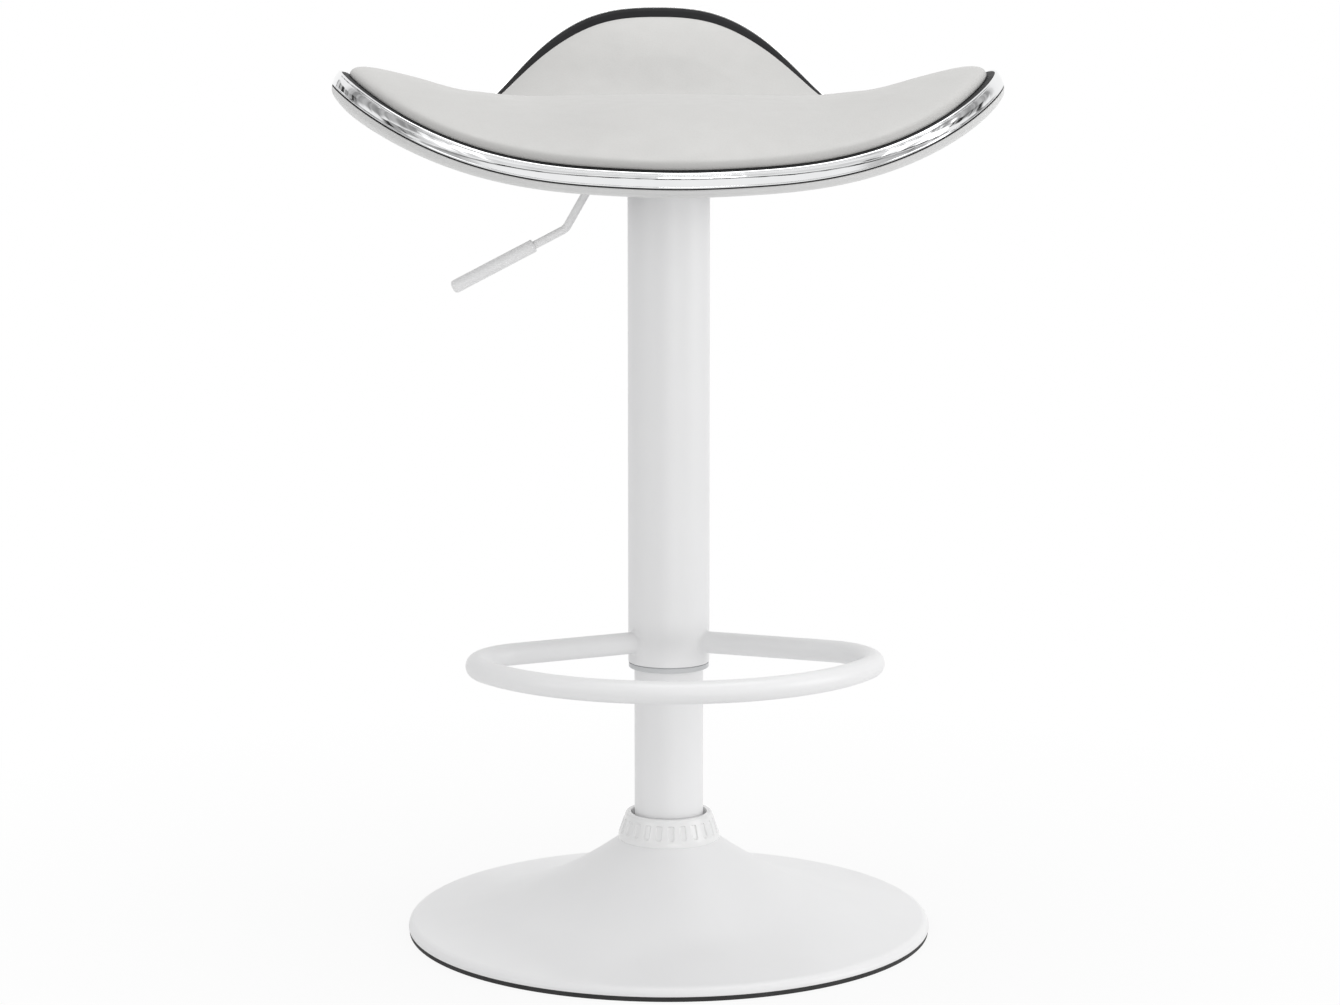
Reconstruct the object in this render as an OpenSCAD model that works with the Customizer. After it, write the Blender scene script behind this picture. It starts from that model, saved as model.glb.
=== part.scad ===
// Height-adjustable bar stool: a three-lobed saddle seat on a gas lift, a looped footrest
// and a round trumpet base. Millimetres, +Z up, the sitter faces -Y.
// The origin is on the floor, on the axis of the column. The seat is at its lowest position.

/* [Base] */
// Outer radius of the spun dish
base_r = 193.5; // [180:0.5:215]
// Thickness of the dish's sheet
dish_t = 2; // [1.2:0.1:3]
// Height of the rim's straight skirt above the floor ring
dish_skirt_h = 0.4; // [0.1:0.1:4]
// Rise of the dish from its rim to its neck
dish_rise = 57.7; // [40:0.1:75]
// How fast the dish's flare steepens towards the neck
dish_power = 1.9; // [1.5:0.05:2.5]
// Radius of the rounded rim
dish_edge_r = 6; // [3:0.5:7]
// Height of the rubber floor ring
floor_ring_h = 3.6; // [2.5:0.1:4]
// Width of the rubber floor ring
floor_ring_w = 5; // [3:0.5:8]
// How far the steel plate that closes and weights the base stays inside the rim
base_plate_inset = 15.5; // [10:0.5:40]
// Thickness of that plate
base_plate_t = 4; // [3:0.5:4.5]

/* [Column] */
// Outer diameter of the fixed column
column_d = 50.8; // [50:0.1:52]
// Wall of the fixed column
column_wall = 1.5; // [1.2:0.1:2]
// Free height between the column's top bush and the taper socket, with the seat at its lowest
column_clear = 21; // [5:1:60]
// Radius of the flange at the foot of the column
column_flange_r = 48; // [44:0.5:60]
// Thickness of that flange
column_flange_t = 5; // [4:0.5:8]
// Height of the plug that carries the gas lift inside the column
plug_z = 40; // [36:0.5:42]
// Thickness of the plug
plug_t = 12; // [8:0.5:13]

/* [Collar] */
// Gap between the collar and the dish's sleeve round the column
collar_gap = 0.4; // [0.2:0.1:1.4]
// Width of the collar at its top
collar_rim_w = 4; // [3.5:0.1:6]
// Width of the collar at its foot, where the dish's flare ends
collar_foot_w = 9.5; // [8:0.1:14]
// Height of the collar
collar_h = 20; // [16:0.5:24]
// Height of the plain lip at the collar's foot
collar_lip_h = 3.5; // [2:0.1:5]
// Number of flutes
flute_count = 24; // [12:1:28]
// Radius of a flute's cutter
flute_r = 2.4; // [1.8:0.1:3]
// Depth of a flute
flute_depth = 1.1; // [0.5:0.1:1.4]
// Length of a flute, between its round ends
flute_l = 5.5; // [3:0.5:7]

/* [Lift tube] */
// Gap between the column and the tube that rises with the seat
tube_gap = 3.1; // [2:0.1:5]
// Wall of the lift tube
tube_wall = 1.5; // [1.2:0.1:1.8]
// Height of the tube's lower end
tube_low_z = 201.2; // [180:0.1:210]
// Visible height of the guide bush under the tube
bush_lip_h = 4.2; // [3:0.1:6]
// Length of the guide bush inside the tube
bush_len = 22; // [15:0.5:40]

/* [Gas lift] */
// Outer radius of the gas cylinder
cyl_r = 14; // [13.5:0.1:14.5]
// Wall of the gas cylinder
cyl_wall = 1.5; // [1.2:0.1:2]
// Free height between the rod's shoulder and the cylinder, with the seat at its lowest
cyl_clear = 8; // [3:0.5:20]
// Length of the taper that seats in the mechanism
taper_len = 41; // [30:0.5:45]
// Radius lost along the taper
taper_drop = 0.7; // [0.4:0.05:1]
// Radius of the piston rod
rod_r = 5; // [4:0.1:6]
// Height of the rod's upper end
rod_top_z = 320; // [310:1:330]
// Height of the piston
piston_h = 14; // [10:0.5:20]
// Radius of the release pin on top of the cylinder
pin_r = 2.5; // [2:0.1:3]
// Length of the release pin
pin_len = 28; // [24:0.5:30]
// Wall of the mechanism's taper socket
socket_wall = 5; // [3:0.5:7]

/* [Footrest] */
// Diameter of the footrest's tube
foot_d = 16; // [14:0.5:18]
// Height of the footrest's centreline above the lift tube's lower end
foot_up = 16.3; // [14:0.1:40]
// Reach of the front arc's centreline ahead of the axis
foot_reach = 196; // [180:1:210]
// Half width of the loop, at the centreline
foot_half_w = 141; // [130:1:150]
// How much larger the front arc's radius is than the half width
foot_front_extra = 15; // [5:1:40]
// Radius of the two corners
foot_corner_r = 46; // [36:1:50]
// How far ahead of the tube's axis the centreline of each arm passes
foot_arm_ahead = 2.6; // [0:0.1:8]
// Width of the weld bead round each arm
weld_w = 2.5; // [1:0.1:3]

/* [Mechanism] */
// Thickness of the mounting plate
plate_t = 3; // [2:0.5:4]
// Side of the square mounting plate
plate_w = 120; // [114:1:126]
// Corner radius of the mounting plate
plate_corner_r = 18; // [12:1:24]
// Spacing of the four seat bolts
bolt_pitch = 90; // [84:1:94]
// Radius of the seat bolts
bolt_r = 3; // [2.5:0.1:4]
// Length of the mechanism's box, side to side
box_l = 96; // [92:1:100]
// Width of the box, front to back
box_w = 64; // [56:1:70]
// Height of the box
box_h = 18; // [16:0.5:20]
// Wall of the box
box_wall = 2; // [1.5:0.1:2.5]

/* [Lever] */
// Radius of the lever's rod
lever_r = 3; // [2.5:0.1:3.5]
// Radius of the rod's bends
lever_bend_r = 9; // [7:0.5:12]
// Distance of the lever's pivot from the end of the box
pivot_inset = 8; // [6:0.5:12]
// Radius of the pivot pin
pivot_r = 1.5; // [1.2:0.1:2]
// How far past the end of the box the lever's first bend lies
bend1_out = 7; // [6:0.5:12]
// Run of the lever from its first bend to the second, sideways
bend2_run = 20; // [16:0.5:26]
// Drop of the lever from its first bend to the second
bend2_drop = 35; // [30:0.5:40]
// Run of the lever from its second bend to its tip, sideways
tip_run = 82.5; // [70:0.5:95]
// Drop of the lever from its second bend to its tip
tip_drop = 43; // [35:0.5:50]
// Radius of the grip
grip_r = 4.9; // [4.2:0.1:6]
// Length of the grip
grip_l = 67; // [55:1:75]

/* [Seat] */
// Height of the seat board's flat middle
pan_z = 591; // [590:0.5:594]
// Half width of the seat, to the rim of a side lobe
seat_half_w = 237; // [230:1:250]
// Rise of the side lobes
side_rise = 45; // [35:1:50]
// Half width of the flat middle between the side lobes
side_start = 56; // [40:1:70]
// How fast the side lobes steepen
side_power = 2.4; // [2:0.1:3]
// Rise of the back lobe
back_rise = 91; // [60:1:95]
// Where the back lobe starts to rise, behind the axis
back_start = 95.5; // [80:0.5:100]
// Depth of the seat behind the axis, to the back lobe's rim
back_y = 191; // [185:0.5:200]
// Fall of the front edge
front_fall = 21.5; // [12:0.5:26]
// Depth of the seat ahead of the axis, to the front rim
front_y = 181; // [175:1:190]
// Thickness of the seat board
board_t = 10; // [8:0.5:12]
// Height of the bright trim's band
trim_h = 11; // [10:0.5:13]
// Sheet thickness of the bright trim
trim_t = 1.4; // [1:0.1:2]
// How far the trim's face bows out
trim_bow = 1; // [0.5:0.1:1.5]
// Width of the dark ledge between trim and cushion
ledge_w = 4.5; // [4:0.5:6]
// Drop of the under-shell below the board's top
shell_drop = 25; // [24.5:0.1:25.5]
// Thickness of the under-shell
shell_t = 3; // [2.5:0.1:3.5]
// Thickness of the cushion near its edge
pad_edge_t = 19; // [14:0.5:22]
// Crown of the cushion, added in its middle
pad_crown = 6; // [3:0.5:9]

/* [Hidden] */

// Clearances and the overrun of every cut
fit_gap = 0.05;
layer_gap = 0.2;
soft_gap = 0.5;
cut = 1;
weld_fit = 0.02;

// Base
dish_rim_z = floor_ring_h + dish_skirt_h + dish_edge_r;
floor_ring_r = base_r - dish_t / 4;
base_plate_r = base_r - base_plate_inset;
crest_r = base_r - dish_edge_r;
neck_z = dish_rim_z + dish_rise;
neck_slope_share = 0.8;
sleeve_in_r = column_d / 2 + layer_gap;
sleeve_r = sleeve_in_r + dish_t;
collar_hole_r = sleeve_r + collar_gap;
collar_top_r = collar_hole_r + collar_rim_w;
neck_r = collar_hole_r + collar_foot_w;
sleeve_foot_z = neck_z + (neck_r - sleeve_r) * neck_slope_share;
sleeve_top_z = neck_z + collar_h * 0.65;
plate_top_z = dish_rim_z - dish_t;
dish_steps = 16;
edge_steps = 5;
flange_screw_r = 4;
flange_head_r = 7;
flange_head_h = 2.8;
flange_pitch_r = (column_flange_r + column_d / 2) / 2;
collar_z = neck_z + layer_gap;
collar_round_r = 1.6;

// Column and gas lift
column_r = column_d / 2;
column_in_r = column_r - column_wall;
plug_top_z = plug_z + plug_t;
washer_t = 2;
race_t = 4;
race_z = plug_top_z + washer_t;
shoulder_z = race_z + race_t;
shoulder_h = 4;
shoulder_w = 4;
shoulder_r = rod_r + shoulder_w;
clip_t = 3;
clip_w = 3;
clip_r = rod_r + clip_w;
rod_low_z = plug_z - clip_t - rod_r / 2;
race_inset = 6;
race_r = column_in_r - race_inset;
bush_top_lip_h = 2;
column_bush_len = 35;
cyl_in_r = cyl_r - cyl_wall;
cyl_low_z = shoulder_z + shoulder_h + cyl_clear;
socket_r = cyl_r + socket_wall;
guide_h = 18;

// Mechanism heights, from the plate down
plate_z = pan_z - shell_drop - plate_t;
box_z = plate_z - box_h;
tube_top_z = box_z;
cyl_top_z = box_z + box_wall * 1.5;
taper_z = cyl_top_z - taper_len;
socket_chamfer = 4;
socket_low_z = taper_z - socket_chamfer;
column_top_z = socket_low_z - column_clear - bush_top_lip_h;
taper_top_r = cyl_r - taper_drop;
lever_z = box_z + box_wall + box_h / 2;
pin_top_z = lever_z - lever_r - fit_gap * 2;
valve_land = 5;
valve_h = pin_len + valve_land;

// Lift tube
tube_in_r = column_r + tube_gap;
tube_r = tube_in_r + tube_wall;
bush_lip_r = tube_r - layer_gap * 2;
tube_cap_h = 20;

// Footrest loop: the front arc, the two corners and the two straight arms
foot_r = foot_d / 2;
foot_z = tube_low_z + foot_up;
foot_front_r = foot_half_w + foot_front_extra;
front_c = [0, foot_front_r - foot_reach];
corner_x = foot_half_w - foot_corner_r;
corner_y = front_c[1] - sqrt(pow(foot_front_r - foot_corner_r, 2) - pow(corner_x, 2));
corner_a = atan2(corner_y - front_c[1], corner_x);
foot_arm_a = -atan2(corner_y, corner_x)
  - asin((foot_corner_r + foot_arm_ahead) / norm([corner_x, corner_y]));
arm_dir = [cos(foot_arm_a), -sin(foot_arm_a)];
arm_end = [corner_x, corner_y] + foot_corner_r * [sin(foot_arm_a), cos(foot_arm_a)];
arm_start = arm_end - arm_dir * (arm_end * arm_dir - tube_r / 2);
foot_sides = 20;
corner_steps = 10;
front_steps = 13;

// Lever route in the XZ plane, on the -X side
lever_end_x = 3;
pivot_x = box_l / 2 - pivot_inset;
bend1_x = box_l / 2 + bend1_out;
bend2 = [-bend1_x - bend2_run, lever_z - bend2_drop];
lever_route = [[lever_end_x, lever_z], [-bend1_x, lever_z], bend2, bend2 + [-tip_run, -tip_drop]];
hub_wall = 1.5;
hub_r = lever_r + hub_wall;
hub_w = 14;
ear_t = box_wall;
ear_gap = layer_gap;
slot_play = 1;
slot_w = 2 * (lever_r + slot_play);
bend_steps = 8;
lever_sides = 16;

// Bolts of the seat
bolt_places = [[1, 1], [-1, 1], [-1, -1], [1, -1]];
spacer_r = bolt_r * 2;
shell_in_z = pan_z - shell_drop + shell_t;
board_low_z = pan_z - board_t;
bolt_head_r = bolt_r * 1.7;
bolt_head_h = bolt_r * 0.9;
nut_flange_t = 1.6;
nut_flange_r = bolt_r * 3;
nut_wall = 1.2;
nut_barrel_r = bolt_r + nut_wall;
nut_top_z = pan_z - nut_flange_t / 4;

// Seat rim: control shares of the half width, each 15 degrees from the front to the back
rim_step = 15;
rim_shares = [0.764, 0.76, 0.783, 0.845, 0.922, 0.985, 1.007, 0.982, 0.839, 0.798, 0.83, 0.822, 0.799];
flat_r = 86;
flat_blend = 56;
fade_start = 10;
fade_end = 130;
slope_step = 0.5;
rim_n = 72;

// Seat layers: places are outwards from the rim and up from the board's top
board_out = -(trim_t + ledge_w);
inner_shares = [0.25, 0.45, 0.62, 0.76, 0.88, 0.96];
strip_in = board_out + soft_gap;
strip_out = -trim_t - layer_gap;
// Section of the trim's face: height share and bow share, from the top edge down
face_shares = [[0, 0], [0.12, 0.55], [0.5, 1], [0.88, 0.55], [1, 0]];
trim_face = [for (p = face_shares) [trim_bow * p[1], -trim_h * p[0]]];
// Section of the shell's wall, from the rim inwards: share of the turn's width and of the drop
turn_w = 44;
shell_top = -trim_h - trim_t - layer_gap;
shell_shares = [[0, 0], [0.06, 0.34], [0.23, 0.64], [0.5, 0.87], [1, 1]];
shell_inner_shares = [0.88, 0.74, 0.6, 0.52, 0.4];
// Section of the cushion's rolled edge, down to its foot: share of the roll's width and of the height
pad_out = board_out - soft_gap / 2;
pad_roll_w = 36;
pad_top_shares = [0.2, 0.42, 0.6, 0.73];
roll_shares = [[1, 0.97], [0.62, 0.9], [0.34, 0.76], [0.14, 0.55], [0.02, 0.3], [0, 0.14], [0.05, 0]];

function mid(a, b, t) = a + (b - a) * t;
function ease(t) = let(k = min(1, max(0, t))) k * k * (3 - 2 * k);
function unit(v) = v / norm(v);

// Radius of the rim at angle a: a cubic B-spline through the control shares, alike on both sides
function rim_share(i) =
  let(n = len(rim_shares) - 1, k = ((i % (2 * n)) + 2 * n) % (2 * n)) rim_shares[k <= n ? k : 2 * n - k];
function rim_radius(a) =
  let(p = (a + 90) / rim_step, i = floor(p), t = p - i)
  seat_half_w * (rim_share(i - 1) * pow(1 - t, 3)
    + rim_share(i) * (3 * pow(t, 3) - 6 * pow(t, 2) + 4)
    + rim_share(i + 1) * (-3 * pow(t, 3) + 3 * pow(t, 2) + 3 * t + 1)
    + rim_share(i + 2) * pow(t, 3)) / 6;

// Height of the board's top at x, y: side lobes, back lobe and falling front, flat in the middle
function side_lift(x, y) =
  side_rise * pow(max(0, abs(x) - side_start) / (seat_half_w - side_start), side_power)
    * (1 - ease((y - fade_start) / (fade_end - fade_start)));
function back_lift(y) = back_rise * pow(max(0, y - back_start) / (back_y - back_start), 2);
function front_drop(y) = front_fall * pow(max(0, -y) / front_y, 2);
function pan_height(x, y) =
  pan_z + (side_lift(x, y) + back_lift(y) - front_drop(y)) * ease((norm([x, y]) - flat_r) / flat_blend);
function pan_point(x, y) = [x, y, pan_height(x, y)];
function pan_normal(x, y) = unit([
  (pan_height(x - slope_step, y) - pan_height(x + slope_step, y)) / (2 * slope_step),
  (pan_height(x, y - slope_step) - pan_height(x, y + slope_step)) / (2 * slope_step), 1]);

// The rim's local frame at angle a, and a point at out (outwards) and up (along the normal) from the rim
function rim_point(a) = let(r = rim_radius(a)) pan_point(r * cos(a), r * sin(a));
function rim_normal(a) = let(r = rim_radius(a)) pan_normal(r * cos(a), r * sin(a));
function rim_out(a) = unit(cross(unit(rim_point(a + 1) - rim_point(a - 1)), rim_normal(a)));
function rim_at(a, out, up) = rim_point(a) + out * rim_out(a) + up * rim_normal(a);

// A point inside the rim: share s of the way out to the ring at out, raised by up
function seat_at(a, s, out, up) =
  let(e = rim_at(a, out, 0), x = s * e[0], y = s * e[1]) pan_point(x, y) + up * pan_normal(x, y);

// Faces between rows of n points each; rows close round, and the ends are closed by a fan or by each other.
// Bands past row turn have their diagonals the other way
function loop_faces(rows, n, wrap, turn) = [
  for (r = [0 : rows - (wrap ? 1 : 2)], i = [0 : n - 1], half = [0, 1])
    let(j = (i + 1) % n, q = (r + 1) % rows)
    r < turn
      ? (half == 0 ? [r * n + i, r * n + j, q * n + j] : [r * n + i, q * n + j, q * n + i])
      : (half == 0 ? [r * n + i, r * n + j, q * n + i] : [r * n + j, q * n + j, q * n + i])];
function fan_faces(hub, row, n, flip) = [
  for (i = [0 : n - 1])
    let(j = (i + 1) % n)
    flip ? [hub, row * n + j, row * n + i] : [hub, row * n + i, row * n + j]];

// A closed band that follows the rim, with the section given as [out, up] points, clockwise
module rim_band(section, turn) {
  rows = len(section);
  points = [for (p = section, i = [0 : rim_n - 1]) rim_at(i * 360 / rim_n, p[0], p[1])];
  polyhedron(points, loop_faces(rows, rim_n, true, turn));
}

// A closed slab inside the rim, with rows given as [share, out, up] from the top's middle, over
// the edge and back from row turn to the underside's middle. Where framed, the edge rows, with a
// share of 1, lie in the rim's own frame
module rim_slab(rows, top_up, low_up, turn, framed) {
  count = len(rows);
  ring_points = [for (p = rows, i = [0 : rim_n - 1]) let(a = i * 360 / rim_n)
    framed && p[0] == 1 ? rim_at(a, p[1], p[2]) : seat_at(a, p[0], p[1], p[2])];
  hubs = [seat_at(0, 0, 0, top_up), seat_at(0, 0, 0, low_up)];
  faces = concat(
    loop_faces(count, rim_n, false, turn),
    fan_faces(count * rim_n, 0, rim_n, true),
    fan_faces(count * rim_n + 1, count - 1, rim_n, false));
  polyhedron(concat(ring_points, hubs), faces);
}

// Base
function dish_z(r) = dish_rim_z + dish_rise * pow(max(0, crest_r - r) / (crest_r - neck_r), dish_power);
module base_dish() {
  flare = [for (i = [0 : dish_steps]) mid(crest_r, neck_r, i / dish_steps)];
  top = concat(
    [[base_r, floor_ring_h]],
    [for (i = [0 : edge_steps - 1]) let(a = 90 * i / edge_steps)
      [crest_r + dish_edge_r * cos(a), dish_rim_z - dish_edge_r + dish_edge_r * sin(a)]],
    [for (r = flare) [r, dish_z(r)]],
    [[sleeve_r, sleeve_foot_z], [sleeve_r, sleeve_top_z]]);
  inner_r = dish_edge_r - dish_t;
  low = concat(
    [[sleeve_in_r, sleeve_top_z], [sleeve_in_r, sleeve_foot_z - dish_t]],
    [for (i = [dish_steps : -1 : 0]) [flare[i], dish_z(flare[i]) - dish_t]],
    [for (i = [edge_steps - 1 : -1 : 0]) let(a = 90 * i / edge_steps)
      [crest_r + inner_r * cos(a), dish_rim_z - dish_edge_r + inner_r * sin(a)]],
    [[base_r - dish_t, floor_ring_h]]);
  color([0.93, 0.93, 0.93]) rotate_extrude($fn = 96) polygon(concat(top, low));
}

module floor_ring() {
  color([0.06, 0.06, 0.06]) difference() {
    cylinder(h = floor_ring_h, r = floor_ring_r, $fn = 96);
    translate([0, 0, -cut])
      cylinder(h = floor_ring_h + 2 * cut, r = floor_ring_r - floor_ring_w, $fn = 96);
  }
}

module flange_places() {
  for (i = [0 : 3]) rotate([0, 0, 45 + 90 * i]) translate([flange_pitch_r, 0, 0]) children();
}

module base_plate() {
  color([0.3, 0.3, 0.32]) difference() {
    translate([0, 0, plate_top_z - base_plate_t]) cylinder(h = base_plate_t, r = base_plate_r, $fn = 96);
    flange_places()
      translate([0, 0, plate_top_z - base_plate_t - cut])
        cylinder(h = base_plate_t + 2 * cut, r = flange_screw_r + layer_gap, $fn = 32);
  }
}

module column_flange() {
  color([0.35, 0.35, 0.37]) difference() {
    translate([0, 0, plate_top_z]) cylinder(h = column_flange_t, r = column_flange_r, $fn = 64);
    translate([0, 0, plate_top_z - cut])
      cylinder(h = column_flange_t + 2 * cut, r = column_r + weld_fit, $fn = 64);
    flange_places()
      translate([0, 0, plate_top_z - cut])
        cylinder(h = column_flange_t + 2 * cut, r = flange_screw_r + weld_fit, $fn = 32);
  }
}

module flange_screw(i) {
  color([0.25, 0.25, 0.27]) rotate([0, 0, 45 + 90 * i]) translate([flange_pitch_r, 0, 0]) {
    translate([0, 0, plate_top_z - base_plate_t - flange_head_h])
      difference() {
        cylinder(h = flange_head_h, r = flange_head_r, $fn = 32);
        translate([0, 0, -cut]) cylinder(h = cut + flange_head_h / 2, r = flange_screw_r / 2, $fn = 6);
      }
    translate([0, 0, plate_top_z - base_plate_t])
      cylinder(h = base_plate_t + column_flange_t, r = flange_screw_r, $fn = 32);
  }
}

module column() {
  color([0.93, 0.93, 0.93]) difference() {
    translate([0, 0, plate_top_z]) cylinder(h = column_top_z - plate_top_z, r = column_r, $fn = 64);
    translate([0, 0, plate_top_z - cut])
      cylinder(h = column_top_z - plate_top_z + 2 * cut, r = column_in_r, $fn = 64);
  }
}

module column_plug() {
  color([0.4, 0.4, 0.42]) difference() {
    translate([0, 0, plug_z]) cylinder(h = plug_t, r = column_in_r - weld_fit, $fn = 64);
    translate([0, 0, plug_z - cut]) cylinder(h = plug_t + 2 * cut, r = rod_r + fit_gap, $fn = 32);
  }
}

module column_bush() {
  color([0.8, 0.8, 0.8]) difference() {
    union() {
      translate([0, 0, column_top_z - column_bush_len])
        cylinder(h = column_bush_len, r = column_in_r - weld_fit, $fn = 64);
      translate([0, 0, column_top_z]) cylinder(h = bush_top_lip_h, r = column_r, $fn = 64);
    }
    translate([0, 0, column_top_z - column_bush_len - cut])
      cylinder(h = column_bush_len + bush_top_lip_h + 2 * cut, r = cyl_r + fit_gap, $fn = 64);
  }
}

module thrust_washer() {
  color([0.7, 0.7, 0.72]) difference() {
    translate([0, 0, plug_top_z]) cylinder(h = washer_t, r = race_r, $fn = 48);
    translate([0, 0, plug_top_z - cut]) cylinder(h = washer_t + 2 * cut, r = rod_r + layer_gap, $fn = 32);
  }
}

module collar_ring() {
  slope_a = atan2(neck_r - collar_top_r, collar_h - collar_lip_h);
  section = [
    [neck_r, 0], [neck_r, collar_lip_h],
    [collar_top_r + collar_round_r * 0.3, collar_h - collar_round_r],
    [collar_top_r - collar_round_r * 0.4, collar_h - collar_round_r * 0.3],
    [collar_top_r - collar_round_r, collar_h],
    [collar_hole_r + collar_round_r / 2, collar_h], [collar_hole_r, collar_h - collar_round_r / 2],
    [collar_hole_r, (neck_r - collar_hole_r) * neck_slope_share + layer_gap]];
  color([0.95, 0.95, 0.95]) translate([0, 0, collar_z]) difference() {
    rotate_extrude($fn = 96) polygon(section);
    for (i = [0 : flute_count - 1])
      rotate([0, 0, 360 * i / flute_count])
        translate([neck_r + flute_r - flute_depth, 0, collar_lip_h])
          rotate([0, -slope_a, 0]) translate([0, 0, flute_r]) {
            cylinder(h = flute_l, r = flute_r, $fn = 24);
            sphere(r = flute_r, $fn = 24);
            translate([0, 0, flute_l]) sphere(r = flute_r, $fn = 24);
          }
  }
}

// Rod, piston and bearing: they turn in the column with everything above them
module thrust_race() {
  color([0.75, 0.75, 0.77]) difference() {
    translate([0, 0, race_z]) cylinder(h = race_t, r = race_r, $fn = 48);
    translate([0, 0, race_z - cut]) cylinder(h = race_t + 2 * cut, r = rod_r + weld_fit, $fn = 32);
  }
}

module piston_rod() {
  color([0.8, 0.8, 0.82]) {
    translate([0, 0, rod_low_z]) cylinder(h = rod_top_z - rod_low_z, r = rod_r, $fn = 32);
    translate([0, 0, shoulder_z]) cylinder(h = shoulder_h, r = shoulder_r, $fn = 32);
  }
}

module piston() {
  color([0.2, 0.2, 0.2]) difference() {
    translate([0, 0, rod_top_z - piston_h]) cylinder(h = piston_h, r = cyl_in_r - fit_gap, $fn = 48);
    translate([0, 0, rod_top_z - piston_h - cut])
      cylinder(h = piston_h + 2 * cut, r = rod_r + weld_fit, $fn = 32);
  }
}

module rod_clip() {
  color([0.5, 0.5, 0.52]) difference() {
    translate([0, 0, plug_z - clip_t]) cylinder(h = clip_t - fit_gap, r = clip_r, $fn = 32);
    translate([0, 0, plug_z - clip_t - cut]) cylinder(h = clip_t + 2 * cut, r = rod_r + weld_fit, $fn = 32);
  }
}

// Gas cylinder and what it carries
module gas_cylinder() {
  section = [
    [cyl_in_r, cyl_low_z], [cyl_r, cyl_low_z], [cyl_r, taper_z], [taper_top_r, cyl_top_z],
    [pin_r + fit_gap, cyl_top_z], [pin_r + fit_gap, cyl_top_z - valve_h], [cyl_in_r, cyl_top_z - valve_h]];
  color([0.15, 0.15, 0.16]) rotate_extrude($fn = 64) polygon(section);
}

module rod_guide() {
  color([0.3, 0.3, 0.3]) difference() {
    translate([0, 0, cyl_low_z]) cylinder(h = guide_h, r = cyl_in_r - weld_fit, $fn = 48);
    translate([0, 0, cyl_low_z - cut]) cylinder(h = guide_h + 2 * cut, r = rod_r + fit_gap, $fn = 32);
  }
}

module taper_socket() {
  bore_low_r = cyl_r + weld_fit;
  section = [
    [bore_low_r, socket_low_z], [socket_r, socket_low_z], [socket_r, cyl_top_z],
    [taper_top_r + weld_fit, cyl_top_z], [bore_low_r, taper_z]];
  color([0.2, 0.2, 0.21]) rotate_extrude($fn = 64) polygon(section);
}

module lift_tube() {
  color([0.93, 0.93, 0.93]) difference() {
    translate([0, 0, tube_low_z]) cylinder(h = tube_top_z - tube_low_z, r = tube_r, $fn = 96);
    translate([0, 0, tube_low_z - cut])
      cylinder(h = tube_top_z - tube_low_z + 2 * cut, r = tube_in_r, $fn = 96);
  }
}

module tube_bush() {
  color([0.82, 0.83, 0.84]) difference() {
    union() {
      translate([0, 0, tube_low_z - bush_lip_h])
        cylinder(h = bush_lip_h - layer_gap, r = bush_lip_r, $fn = 96);
      translate([0, 0, tube_low_z - layer_gap]) cylinder(h = bush_len, r = tube_in_r - weld_fit, $fn = 96);
    }
    translate([0, 0, tube_low_z - bush_lip_h - cut])
      cylinder(h = bush_lip_h + bush_len + 2 * cut, r = column_r + fit_gap, $fn = 96);
  }
}

module tube_cap() {
  color([0.2, 0.2, 0.2]) difference() {
    translate([0, 0, tube_top_z - tube_cap_h]) cylinder(h = tube_cap_h, r = tube_in_r - weld_fit, $fn = 96);
    translate([0, 0, tube_top_z - tube_cap_h - cut])
      cylinder(h = tube_cap_h + 2 * cut, r = socket_r + weld_fit, $fn = 64);
  }
}

// A round tube along path rows of [x, y, heading], in the XY plane, as one closed mesh
module swept_tube(path, r, sides) {
  n = len(path);
  points = [for (p = path, i = [0 : sides - 1]) let(a = -360 * i / sides)
    [p[0] + r * cos(a) * -sin(p[2]), p[1] + r * cos(a) * cos(p[2]), r * sin(a)]];
  ends = [[path[0][0], path[0][1], 0], [path[n - 1][0], path[n - 1][1], 0]];
  faces = concat(
    loop_faces(n, sides, false, n),
    fan_faces(n * sides, 0, sides, true),
    fan_faces(n * sides + 1, n - 1, sides, false));
  polyhedron(concat(points, ends), faces);
}

// Rows of a path round an arc: centre c, radius r, from angle a0 to a1 in n steps
function arc_rows(c, r, a0, a1, n) = [
  for (i = [0 : n]) let(a = mid(a0, a1, i / n))
    [c[0] + r * cos(a), c[1] + r * sin(a), a + (a1 > a0 ? 90 : -90)]];
function mirrored_rows(rows) = [
  for (i = [len(rows) - 1 : -1 : 0]) [-rows[i][0], rows[i][1], -rows[i][2]]];

// Footrest: a straight arm, a corner and half the front arc, then the same mirrored
module weld_bead() {
  rotate([0, 0, -foot_arm_a])
    translate([sqrt(pow(tube_r, 2) - pow(foot_arm_ahead, 2)) - weld_w / 2, -foot_arm_ahead, 0])
      rotate([0, 90, 0])
        cylinder(h = weld_w + weld_w / 2, r1 = foot_r + weld_w, r2 = foot_r * 0.98, $fn = 32);
}

module footrest() {
  arm = [[arm_start[0], arm_start[1], -foot_arm_a]];
  corner = arc_rows([corner_x, corner_y], foot_corner_r, 90 - foot_arm_a, corner_a, corner_steps);
  front = arc_rows(front_c, foot_front_r, corner_a, -90, front_steps);
  half = concat(arm, corner, [for (i = [1 : front_steps]) front[i]]);
  other = mirrored_rows(half);
  path = concat(half, [for (i = [1 : len(other) - 1]) other[i]]);
  color([0.93, 0.93, 0.93]) translate([0, 0, foot_z]) difference() {
    union() {
      swept_tube(path, foot_r, foot_sides);
      for (side = [0, 1]) mirror([side, 0, 0]) weld_bead();
    }
    cylinder(h = foot_d * 3, r = tube_r + weld_fit, center = true, $fn = 96);
  }
}

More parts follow.
